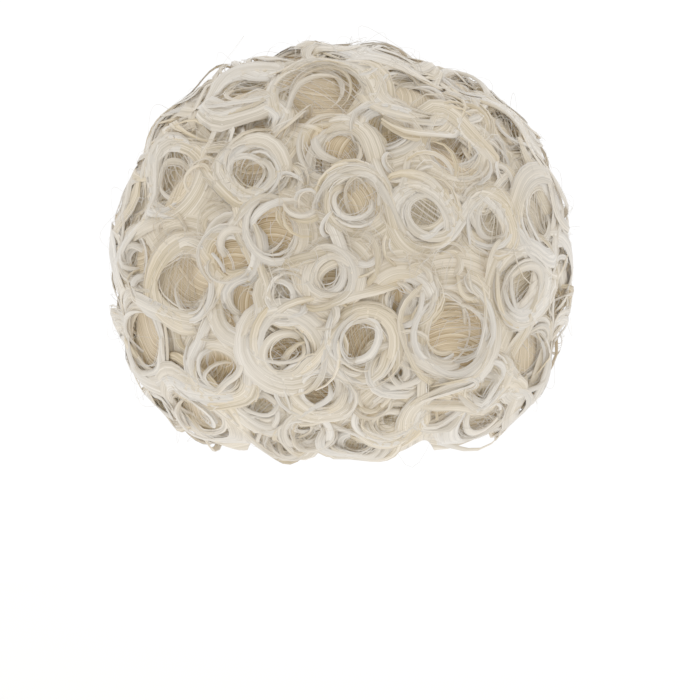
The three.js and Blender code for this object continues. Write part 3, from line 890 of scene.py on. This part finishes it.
# share of girth, level mm
NECK = ((0, -260), (0.85, -260), (0.88, -190), (0.97, -140), (1, -95))
PAST_THE_HAIR = 0.4


def head_form(name, grow, steps=24):
    """The head and neck, grown by a clearance."""
    dome = [(i / steps) * math.pi / 2 for i in range(1, steps)]
    profile = [(share, level * MM) for share, level in NECK]
    profile += [(math.cos(a), MIDDLE + math.sin(a) * (HEAD_UP + grow)) for a in dome]
    profile.append((0, MIDDLE + (HEAD_UP + grow)))
    return oval(name, profile, HEAD_HALF_WIDTH + grow, HEAD_REACH + grow, HEAD_REACH + grow)


def hair_form(name, steps=72, around=264):
    """The outer form of the hair as a closed oval."""
    profile = []
    for i in range(-steps, steps + 1):
        sine = math.sin(i / steps * math.pi / 2)
        full, power = (DOWN, SQUARENESS) if i < 0 else (UP, 2)
        share = 0 if abs(i) == steps else (1 - abs(sine) ** power) ** (1 / power)
        profile.append((share, MIDDLE + sine * full))
    return oval(name, profile, HALF_WIDTH, BACK, FRONT, around)


def face_arch(name, steps=10):
    """The arch that the face looks out through, open below."""
    inner, bend = FACE_HALF_WIDTH - FACE_CORNER, [k / steps * math.pi / 2 for k in range(steps + 1)]
    outline = [(FACE_HALF_WIDTH, -PAST_THE_HAIR)]
    outline += [(inner + FACE_CORNER * math.cos(a), FACE_TOP - FACE_CORNER * (1 - math.sin(a))) for a in bend]
    outline += [(-x, z) for x, z in reversed(outline)]
    return slab(name, [(x, 0, z) for x, z in outline], [(x, PAST_THE_HAIR, z) for x, z in outline])


bulk = hair_form("under_hair")
print("outer form:", len(bulk.data.vertices), "points")

# %% [markdown]
# The relief of the bulk follows the rings. A rim is a soft ridge, broader on the side of the root. A
# hole falls away inside it, as deep as the ring is open, and the hair between the rings lies nearly
# as high as the rims.

# %% The relief of the rings
RIM_AT, RIM_BREADTH, ROOT_SWELL = 0.85, 0.28, 0.45
RIM_DEPTH, HOLE_DEPTH, HOLE_SHARE = 3 * MM, 14 * MM, 0.64
BETWEEN, BETWEEN_FROM, BETWEEN_OVER = 0.86, 0.6, 0.35
FAR_AWAY, OUT_OF_PLANE, HOLE_EDGE = 9.0, 1.5, 0.3


def flat_in(curl, spots):
    """Places across and up in the plane of a ring, from its middle."""
    away = spots - curl["place"]
    return away @ curl["right"], away @ curl["up"]


def relief_at(points):
    """Height from 0 in a hole to 1 on a rim, the curls of the nearest rim and middle, and how near."""
    best, nearest = np.zeros(len(points)), np.full(len(points), FAR_AWAY)
    rim_of, middle_of = np.zeros(len(points), int), np.zeros(len(points), int)
    for k, curl in enumerate(curls):
        x, y = flat_in(curl, points)
        t = np.hypot(x, y) / curl["ring"]
        to_root = (x * math.cos(curl["root"]) + y * math.sin(curl["root"])) / np.maximum(t * curl["ring"], MM)
        off_plane = np.abs((points - curl["place"]) @ curl["axis"])
        t = np.where(off_plane < OUT_OF_PLANE * curl["ring"], t, FAR_AWAY)
        crest = 1 - curl["sink"] / (HOLE_DEPTH - RIM_DEPTH)
        breadth = RIM_BREADTH * (1 + ROOT_SWELL * to_root)
        rim = crest * np.exp(-(((t - RIM_AT) / breadth) ** 2))
        rim = np.maximum(rim, crest * (1 - curl["openness"]) * ease((1 - t) / HOLE_EDGE))
        rim_of, middle_of = np.where(rim > best, k, rim_of), np.where(t < nearest, k, middle_of)
        best, nearest = np.maximum(best, rim), np.minimum(nearest, t)
    height = np.maximum(best, BETWEEN * ease((nearest - BETWEEN_FROM) / BETWEEN_OVER))
    return dict(height=height, rim_of=rim_of, middle_of=middle_of, nearest=nearest)


def raise_rims(thing):
    """Draws the form in: a little at the rims, deep in the holes."""
    places = places_of(thing)
    inward = unit(hair_middle - places)
    depth = HOLE_DEPTH + (RIM_DEPTH - HOLE_DEPTH) * relief_at(places)["height"]
    depth = depth + np.maximum(lumps(-inward), 0)
    thing.data.vertices.foreach_set("co", (places + inward * depth[:, None]).astype(np.float32).ravel())


raise_rims(bulk)
bulk = carve(carve(bulk, head_form("head", 2 * MM)), face_arch("face"))
print("under hair:", len(bulk.data.polygons), "faces")

# %% [markdown]
# The streaks of the bulk run as the hair does: round each rim in a spiral, straight across a hole, and up and
# down on the side that meets the head and in the arch of the face. So each face of the bulk is mapped by the
# part it lies in. Its depth is stored too, for the painted golden shade that darkens the holes.

# %% The maps of rims, holes and the inner side
SPIRAL, HOLE_TURNS, HOLE_SQUEEZE, HOLE_BOW = 0.12, 3, 1.7, 0.7


def rim_map(curl, spots, middle):
    """Length round the ring and distance from its middle, drawn out to a spiral."""
    x, y = flat_in(curl, spots)
    across, up = flat_in(curl, middle)
    home = math.atan2(up, across)
    angle = home + np.angle(np.exp(1j * (np.arctan2(y, x) - home)))
    out = np.hypot(x, y) + SPIRAL * curl["turn"] * angle * curl["ring"]
    return np.stack((angle * curl["ring"], out), 1)


def hole_map(curl, spots):
    """Length across the hole in the ring's own direction, in slight bows."""
    x, y = flat_in(curl, spots)
    cosine, sine = math.cos(HOLE_TURNS * curl["root"]), math.sin(HOLE_TURNS * curl["root"])
    along, across = x * cosine + y * sine, y * cosine - x * sine
    return np.stack((along, HOLE_SQUEEZE * across + HOLE_BOW * along**2 / curl["ring"]), 1)


def inner_map(spots, middle):
    """Up and down, and round the head."""
    around = np.arctan2(spots[:, 0], -spots[:, 1] if middle[1] < 0 else spots[:, 1])
    return np.stack((spots[:, 2], HEAD_REACH * around), 1)


# %% Map and finish of the under hair
LEAST_DEPTH, DEPTH_CURVE, SIDEWAYS = 0.15, 0.8, 0.9


def depth_below_form(middles):
    away = middles - hair_middle
    distance = np.linalg.norm(away, axis=1)
    return reach_of(away / distance[:, None]) - distance


def wind_map(thing):
    """Stores how deep each point lies, for the painted shade, and the map of each face."""
    data = thing.data
    places = places_of(thing)
    # Low in the relief, deep in the holes, the bulk is painted in golden shade.
    deep = LEAST_DEPTH + (1 - LEAST_DEPTH) * (1 - relief_at(places)["height"]) ** DEPTH_CURVE
    layer = data.attributes.new("depth", "FLOAT", "POINT")
    layer.data.foreach_set("value", deep.astype(np.float32))
    middles = np.array([face.center for face in data.polygons])
    relief = relief_at(middles)
    inner = depth_below_form(middles) > HOLE_DEPTH + LUMP_DEPTH
    flat = np.zeros((len(data.loops), 2), np.float32)
    for k, face in enumerate(data.polygons):
        corners = slice(face.loop_start, face.loop_start + face.loop_total)
        spots, middle = places[list(face.vertices)], middles[k]
        at_arch = middle[1] > 0 and abs(abs(middle[0]) - FACE_HALF_WIDTH) < MM
        if at_arch and abs(face.normal.x) > SIDEWAYS:
            flat[corners] = spots[:, [2, 1]]
        elif inner[k]:
            flat[corners] = inner_map(spots, middle)
        elif relief["nearest"][k] < HOLE_SHARE:
            flat[corners] = hole_map(curls[relief["middle_of"][k]], spots)
        else:
            flat[corners] = rim_map(curls[relief["rim_of"][k]], spots, middle)
    layer = data.attributes.new("strand_uv", "FLOAT2", "CORNER")
    layer.data.foreach_set("vector", flat.ravel())


wind_map(bulk)
# The bulk is painted from platinum down to a darker gold shade in its holes.
wound = hair_material("synthetic hair, wound below the rings", PLATINUM, CREAM_SHADE, GOLD_HOLE_SHADE)
bulk.data.materials.clear()
bulk.data.materials.append(wound)
bulk.data.shade_smooth()
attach(bulk, "root")
pieces.append(bulk)
print("material:", wound.name)

# %% [markdown]
# ## Curls and fibres between the rings
# Between the rings lie smaller curls and loose fibres that no one set by hand. Geometry Nodes scatter
# them: points at a least distance over the bulk, one of a few made-up tufts on each, turned about the
# surface and leaned at random. A mark on the faces keeps them off the rings and the cap.

# %% Mark the places between the rings
LOOKS_DOWN = -0.6


def mark_between(thing):
    """1 on faces that lie between the rings, 0 on those of a ring, on the cap, or that look down."""
    middles = np.array([face.center for face in thing.data.polygons])
    shallow = depth_below_form(middles) < HOLE_DEPTH
    level = np.array([face.normal.z for face in thing.data.polygons]) > LOOKS_DOWN
    chosen = shallow & level & (relief_at(middles)["nearest"] > 1.0)
    layer = thing.data.attributes.new("between", "FLOAT", "FACE")
    layer.data.foreach_set("value", chosen.astype(np.float32))
    return chosen.sum()


print("faces between the rings:", mark_between(bulk))

# %% The scattering tree
MOST_POINTS, PICKS = 40000.0, 50


def scatter_tree():
    inputs = dict(Bulk="Geometry", Tufts="Collection", Spacing="Float", Smallest="Float", Lean="Float",
                  Seed="Int", Hair="Material")
    tree = new_tree("Scatter tufts", inputs, "Tangle")
    given = add(tree, "NodeGroupInput").outputs
    seed = given["Seed"]
    between = add(tree, "GeometryNodeInputNamedAttribute", {"data_type": "FLOAT"}, Name="between")
    points = add(tree, "GeometryNodeDistributePointsOnFaces", {"distribute_method": "POISSON"},
                 Mesh=given["Bulk"], Distance_Min=given["Spacing"], Density_Max=MOST_POINTS,
                 Density_Factor=between, Seed=seed)
    tufts = add(tree, "GeometryNodeCollectionInfo", Collection=given["Tufts"], Separate_Children=True,
                Reset_Children=True)
    lean = add(tree, "ShaderNodeCombineXYZ", X=given["Lean"], Y=given["Lean"], Z=math.pi)
    back = add(tree, "ShaderNodeVectorMath", {"operation": "SCALE"}, i0=lean, Scale=-1.0)
    spin = add(tree, "FunctionNodeRandomValue", {"data_type": "FLOAT_VECTOR"}, i0=back, i1=lean, Seed=seed)
    spin = add(tree, "FunctionNodeEulerToRotation", i0=spin)
    upright = add(tree, "FunctionNodeAlignRotationToVector", {"axis": "Z"}, Vector=points.outputs["Normal"])
    turned = add(tree, "FunctionNodeRotateRotation", {"rotation_space": "LOCAL"}, i0=upright, i1=spin)
    size = add(tree, "FunctionNodeRandomValue", {"data_type": "FLOAT"}, i2=given["Smallest"], i3=1.0,
               Seed=seed)
    pick = add(tree, "FunctionNodeRandomValue", {"data_type": "INT"}, i4=0, i5=PICKS, Seed=seed)
    whole = add(tree, "GeometryNodeInstanceOnPoints", Points=points.outputs["Points"], Instance=tufts,
                Pick_Instance=True, Instance_Index=pick.outputs[2], Rotation=turned, Scale=size.outputs[1])
    whole = add(tree, "GeometryNodeRealizeInstances", Geometry=whole)
    whole = add(tree, "GeometryNodeSetMaterial", Geometry=whole, Material=given["Hair"])
    add(tree, "NodeGroupOutput", Tangle=whole)
    return tree


scatter = scatter_tree()
print("scattering tree:", len(scatter.nodes), "nodes")

# %% Scatter tufts over the bulk
def scattered(name, tufts, **inputs):
    """Scatters a list of tuft objects over the bulk, then removes the tufts."""
    shelf = bpy.data.collections.new(name + "_tufts")
    bpy.context.scene.collection.children.link(shelf)
    for tuft in tufts:
        bpy.context.scene.collection.objects.unlink(tuft)
        shelf.objects.link(tuft)
    thing = placed(name, bulk.data.copy())
    held(baked(thing, scatter, Tufts=shelf, Hair=hair, **inputs))
    for tuft in tufts:
        bpy.data.objects.remove(tuft)
    bpy.data.collections.remove(shelf)
    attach(thing, "root")
    pieces.append(thing)
    print(name, len(thing.data.polygons), "faces")


# %% Small curls
SMALL_RING, SMALL_CURL_RISE, SMALL_CURL_DEPTH = (11, 18), 3 * MM, 3 * MM
SMALL_STRANDS = dict(wisps=1, each=2, thick=0.4 * MM, lift=0.9 * MM, drift=2.0 * MM)


def small_curl(seed, bands_in_it=4):
    """A few bands in an open nest that stands over the bulk at the origin, for the tree to place."""
    rng = np.random.default_rng(seed)
    right, up, axis = np.eye(3)
    ring, turn = rng.uniform(*SMALL_RING) * MM, (1 if seed % 2 else -1)
    curl = dict(place=SMALL_CURL_RISE * axis, axis=axis, right=right, up=up, ring=ring, turn=turn, root=0.0,
                below=SMALL_CURL_DEPTH)
    bands = ring_loops(curl, rng, bands_in_it)
    strands = [strand for band in bands for strand in strands_of(band, rng, **SMALL_STRANDS)]
    return swept(f"small_curl_{seed}", (bands, BAND), (strands, STRAND))


small = [small_curl(seed) for seed in range(8)]
scattered("small_curls", small, Spacing=22 * MM, Smallest=0.8, Lean=0.55, Seed=3)

# %% Loose fibres
TUFT_FIBRES, TUFT_HALF, TUFT_LOWEST, TUFT_DEPTH = 16, 0.26 * MM, -2 * MM, 12 * MM
TUFT_RADIUS, TUFT_BEND, TUFT_SPREAD, TUFT_HEIGHT, TUFT_TILT = (8, 20), (1.2, 4.0), 9, (0, 6), 0.35


def fibre_tuft(seed):
    """A tuft of loose fibres: short arcs at all angles, close over the bulk."""
    rng = np.random.default_rng(500 + seed)
    paths = []
    s = np.linspace(0, 1, FIBRE_POINTS)
    for _ in range(TUFT_FIBRES):
        radius, bend = rng.uniform(*TUFT_RADIUS) * MM, rng.uniform(*TUFT_BEND)
        angle = rng.uniform(0, 6.28) + bend * s
        middle = np.append(rng.normal(0, TUFT_SPREAD, 2), rng.uniform(*TUFT_HEIGHT)) * MM
        tilt = rng.normal(0, TUFT_TILT, 2)
        arc = np.stack((np.cos(angle), np.sin(angle), tilt[0] * np.cos(angle) + tilt[1] * np.sin(angle)), 1)
        points = middle + radius * arc
        points[:, 2] = np.maximum(points[:, 2], TUFT_LOWEST)
        # Fibres low over the bulk are painted in more golden shade.
        depth = np.clip((TUFT_DEPTH - points[:, 2]) / PAINTED_SHADE_DEPTH, 0, 1)
        paths.append(path(points, (0.0, 0.0, 1.0), TUFT_HALF * (1 - 0.6 * s**3), radius * bend * s, depth,
                          rng.uniform(-1, 1)))
    return baked(path_object(f"fibre_tuft_{seed}", paths), sweep, Hair=hair, **FIBRE)


tufts = [fibre_tuft(seed) for seed in range(6)]
scattered("loose_fibres", tufts, Spacing=40 * MM, Smallest=0.8, Lean=0.3, Seed=11)

# %% [markdown]
# ## Fuzz
# Against a white ground the edge of the hair isn't sharp. Fine fibres have left their curls and stand a
# little outside the form in low arcs, so the outline fades. A few are long enough to make thin loops.

# %% Fuzz over the outer form
FUZZ_TRIES, FUZZ_ROOT, FUZZ_LOWEST, FACE_MARGIN = 1400, 5 * MM, -0.75, 20 * MM
LONG_SHARE, LONG_FUZZ, SHORT_FUZZ = 0.15, ((30, 50), (8, 14), 9), ((12, 26), (4, 9), 6)
FUZZ_HALF, FUZZ_BEND = (0.09, 0.15), 0.4


def fuzz_fibre(rng):
    """A fine arc that rises out of the form and falls back, or nothing where the face is."""
    direction = unit(rng.normal(0, 1, 3))
    place = direction * reach_of(direction)
    if direction[2] < FUZZ_LOWEST or covers_face(place, FACE_MARGIN):
        return None
    across = unit(np.cross(direction, rng.normal(0, 1, 3)))
    lengths, rises, count = LONG_FUZZ if rng.random() < LONG_SHARE else SHORT_FUZZ
    length, rise = rng.uniform(*lengths) * MM, rng.uniform(*rises) * MM
    s = np.linspace(0, 1, count)
    bow = np.sin(math.pi * s)
    side = np.cross(direction, across) * rng.normal(0, FUZZ_BEND) * length
    start = hair_middle + place - (lumps(direction) + FUZZ_ROOT) * direction
    points = start + np.outer((s - 0.5) * length, across) + np.outer(bow * rise, direction)
    points = points + np.outer(bow, side)
    half = rng.uniform(*FUZZ_HALF) * MM * (1.2 - 0.7 * s)
    return path(points, direction, half, length * s, 0.0, rng.uniform(-1, 1))


rng = np.random.default_rng(77)
loose = [fibre for fibre in (fuzz_fibre(rng) for _ in range(FUZZ_TRIES)) if fibre]
fuzz = baked(path_object("fuzz", loose), sweep, Hair=hair, **FIBRE)
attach(fuzz, "root")
pieces.append(fuzz)
print("fuzz:", len(loose), "fibres")

# %% [markdown]
# ## The net cap
# The cap is a stretchy knitted net. It shows only from below and through the face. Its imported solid
# has the right form in flat facets, so the same form is cut here from a finer oval, and the knit is a
# fine pattern in the material.

# %% Cap
CAP_WALL, CAP_HALF_SLAB, CAP_TOP = 1.5 * MM, 0.2, 0.2
FOREHEAD, TAB_FRONT, TAB_REAR, TAB_LOW, EAR, NAPE = (v * MM for v in (-50, 44, 20, -118, 22, -158))
NAPE_SHARE, SHARP_EDGE = 0.7, math.radians(40)


def cap_side_outline(name):
    """Everything above the cap's edge: its side outline, carried right across the head."""
    outline = [(PAST_THE_HAIR, CAP_TOP), (-PAST_THE_HAIR, CAP_TOP), (-PAST_THE_HAIR, NAPE)]
    outline += [(-NAPE_SHARE * HEAD_REACH, NAPE), (TAB_REAR - 2 * EAR, TAB_LOW)]
    for a in np.linspace(0, math.pi, 17)[1:]:
        outline.append((TAB_REAR - EAR - EAR * math.cos(a), TAB_LOW + EAR * math.sin(a)))
    outline.append((TAB_FRONT, TAB_LOW))
    for t in np.linspace(0, 1, 13)[1:]:
        weights = ((1 - t) ** 2, 2 * t * (1 - t), t * t)
        knots = ((TAB_FRONT, TAB_LOW), (TAB_FRONT, FOREHEAD), (HEAD_REACH, FOREHEAD))
        outline.append(tuple(sum(w * k[i] for w, k in zip(weights, knots)) for i in (0, 1)))
    outline.append((PAST_THE_HAIR, FOREHEAD))
    near, far = ([(side * CAP_HALF_SLAB, y, z) for y, z in outline] for side in (-1, 1))
    return slab(name, near, far)


cap = carve(head_form("net_cap", CAP_WALL), head_form("head", 0))
cap = carve(cap, cap_side_outline("side"), "INTERSECT")
cap.data.shade_smooth()
cap.data.set_sharp_from_angle(angle=SHARP_EDGE)
print("cap:", len(cap.data.polygons), "faces")

# %% [markdown]
# The knit gives the eye a fine, matt net of pale thread with darker gaps, crossed by rows of tape that
# the hair is sewn to. Real gaps are about 1 mm, and they are drawn at 2 mm.

# %% Knitted net
NET_CELL, TAPE_SPACING, TAPE_HALF, TAPE_EDGE = 2 * MM, 11 * MM, 1.4 * MM, 0.4 * MM


def net_material(name, thread, gap, tape):
    """A fine net, crossed by rows of tape at even levels."""
    material = bpy.data.materials.new(name)
    material.use_nodes = True
    tree = material.node_tree
    shader = tree.nodes["Principled BSDF"]
    place = add(tree, "ShaderNodeTexCoord").outputs["Object"]
    cells = add(tree, "ShaderNodeTexVoronoi", {"feature": "DISTANCE_TO_EDGE"}, Vector=place,
                Scale=1 / NET_CELL)
    cells = cells.outputs["Distance"]
    ramp = add(tree, "ShaderNodeValToRGB", Fac=cells)
    ramp.color_ramp.elements[0].position, ramp.color_ramp.elements[1].position = 0.08, 0.3
    ramp.color_ramp.elements[0].color, ramp.color_ramp.elements[1].color = linear(thread), linear(gap)
    level = add(tree, "ShaderNodeSeparateXYZ", Vector=place).outputs["Z"]
    row = add(tree, MATH, {"operation": "PINGPONG"}, i0=level, i1=TAPE_SPACING / 2)
    row = add(tree, "ShaderNodeMapRange", Value=row, From_Min=TAPE_HALF, From_Max=TAPE_HALF + TAPE_EDGE,
              To_Min=1.0, To_Max=0.0)
    colour = add(tree, "ShaderNodeMix", {"data_type": "RGBA"}, i0=row, i6=ramp, i7=linear(tape))
    threads = add(tree, MATH, MULTIPLY, i0=cells, i1=0.5)
    height = add(tree, MATH, SUBTRACT, i0=row, i1=threads)
    bump = add(tree, "ShaderNodeBump", Strength=0.6, Distance=0.6 * MM, Height=height)
    tree.links.new(colour.outputs[2], shader.inputs["Base Color"])
    tree.links.new(bump.outputs[0], shader.inputs["Normal"])
    shader.inputs["Roughness"].default_value = 0.85
    return material


cap.data.materials.clear()
cap.data.materials.append(net_material("knitted nylon net", "#E2D8C2", "#CBBD9E", "#EAE2D2"))
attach(cap, "root")
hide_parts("cap")
pieces.append(cap)
print("material:", cap.data.materials[0].name)

# %% [markdown]
# ## Floor, light and camera
# A bright studio. Even light comes from all around, stronger from beyond the wig than from the camera's side,
# with a faint lamp by the camera, a large soft one above and one towards the front of the wig. A gamma above
# 1 opens the shadows, so only the holes between the curls fall darker. The floor lies well below the wig.

# %% Floor
FLOOR_LEVEL, FLOOR_HALF, FLOOR_END, FLOOR_GLOW = -0.6, 20, 2, 0.23
floor_mesh = bmesh.new()
bmesh.ops.create_grid(floor_mesh, x_segments=1, y_segments=1, size=FLOOR_HALF)
bmesh.ops.translate(floor_mesh, verts=floor_mesh.verts, vec=(0, FLOOR_END - FLOOR_HALF, FLOOR_LEVEL))
floor = finished("floor", floor_mesh)
floor_finish = bpy.data.materials.new("white studio floor")
floor_finish.use_nodes = True
floor_shader = floor_finish.node_tree.nodes["Principled BSDF"].inputs
floor_shader["Base Color"].default_value = linear("#F6F5F3")
floor_shader["Roughness"].default_value = 0.9
floor_shader["Emission Color"].default_value = (1, 1, 1, 1)
floor_shader["Emission Strength"].default_value = FLOOR_GLOW
floor.data.materials.append(floor_finish)
print("floor", round(-FLOOR_LEVEL / MM), "mm below the crown")

# %% Light from all around
CAMERA_SIDE, FAR_SIDE = 0.4, 1.05
scene = bpy.context.scene
world = bpy.data.worlds.new("studio")
world.use_nodes = True
sky = world.node_tree
toward = add(sky, "ShaderNodeSeparateXYZ", Vector=add(sky, "ShaderNodeTexCoord").outputs["Generated"])
toward = toward.outputs["Y"]
glow = add(sky, "ShaderNodeMapRange", Value=toward, From_Min=-0.8, From_Max=0.9, To_Min=CAMERA_SIDE,
           To_Max=FAR_SIDE)
tint = add(sky, "ShaderNodeMapRange", Value=toward, From_Min=-0.6, From_Max=0.4)
tint = add(sky, "ShaderNodeValToRGB", Fac=tint)
tint.color_ramp.elements[0].color, tint.color_ramp.elements[1].color = linear("#FFFAF2"), linear("#FFFFFF")
sky.links.new(glow.outputs[0], sky.nodes["Background"].inputs["Strength"])
sky.links.new(tint.outputs[0], sky.nodes["Background"].inputs["Color"])
scene.world = world
scene.view_settings.view_transform = "Standard"
scene.view_settings.gamma = 2.0
print("light from beyond the wig is", round(FAR_SIDE / CAMERA_SIDE, 1), "times that from the camera's side")


# %% Lamps
def soft_lamp(name, place, aim, size, power):
    """A round lamp that faces what it aims at."""
    lamp = bpy.data.lights.new(name, "AREA")
    lamp.shape, lamp.size, lamp.energy = "DISK", size, power
    thing = placed(name, lamp)
    aim = np.subtract(aim, place)
    pitch, heading = math.atan2(math.hypot(aim[0], aim[1]), -aim[2]), math.atan2(aim[1], aim[0])
    thing.location = place
    thing.rotation_euler = (pitch, 0, heading - math.pi / 2)


# name, place, aim, size, power
soft_lamp("key", (-0.1, -2.5, 0.15), (0, 0, -0.1), 1.2, 0.2)
soft_lamp("top", (0, -0.7, 2.2), (0, 0, 0), 1.6, 6)
soft_lamp("fill", (0.3, 2.4, 0.8), (0, 0, -0.1), 1.5, 7)
print("lamps:", len(bpy.data.lights))

# %% Camera
PIXEL = 0.7177 * MM
CROWN_COLUMN, CROWN_ROW, FRAME = 341, 127, 700
CAMERA_DISTANCE, CAMERA_ELEVATION = 2.0, math.radians(3)
aim = np.array(((FRAME / 2 - CROWN_COLUMN) * PIXEL, 0, (CROWN_ROW - FRAME / 2) * PIXEL))
backwards = np.array((0, -math.cos(CAMERA_ELEVATION), math.sin(CAMERA_ELEVATION)))
camera = placed("camera", bpy.data.cameras.new("camera"))
camera.location = aim + CAMERA_DISTANCE * backwards
camera.rotation_euler = (math.pi / 2 - CAMERA_ELEVATION, 0, 0)
camera.data.angle = 2 * math.atan(0.5 * FRAME * PIXEL / CAMERA_DISTANCE)
scene.camera = camera
print("the frame is", round(FRAME * PIXEL / MM), "mm wide at the wig")

# %% [markdown]
# ## Measure and finish
# The triangles of every piece are counted, and the sum is printed. The dressed wig may stand only a
# little proud of its imported solids.

# %% Measure and finish
total = 0
for piece in pieces:
    piece.data.calc_loop_triangles()
    total += len(piece.data.loop_triangles)
    print(piece.name, len(piece.data.loop_triangles), "triangles")
print("all pieces:", total, "triangles")
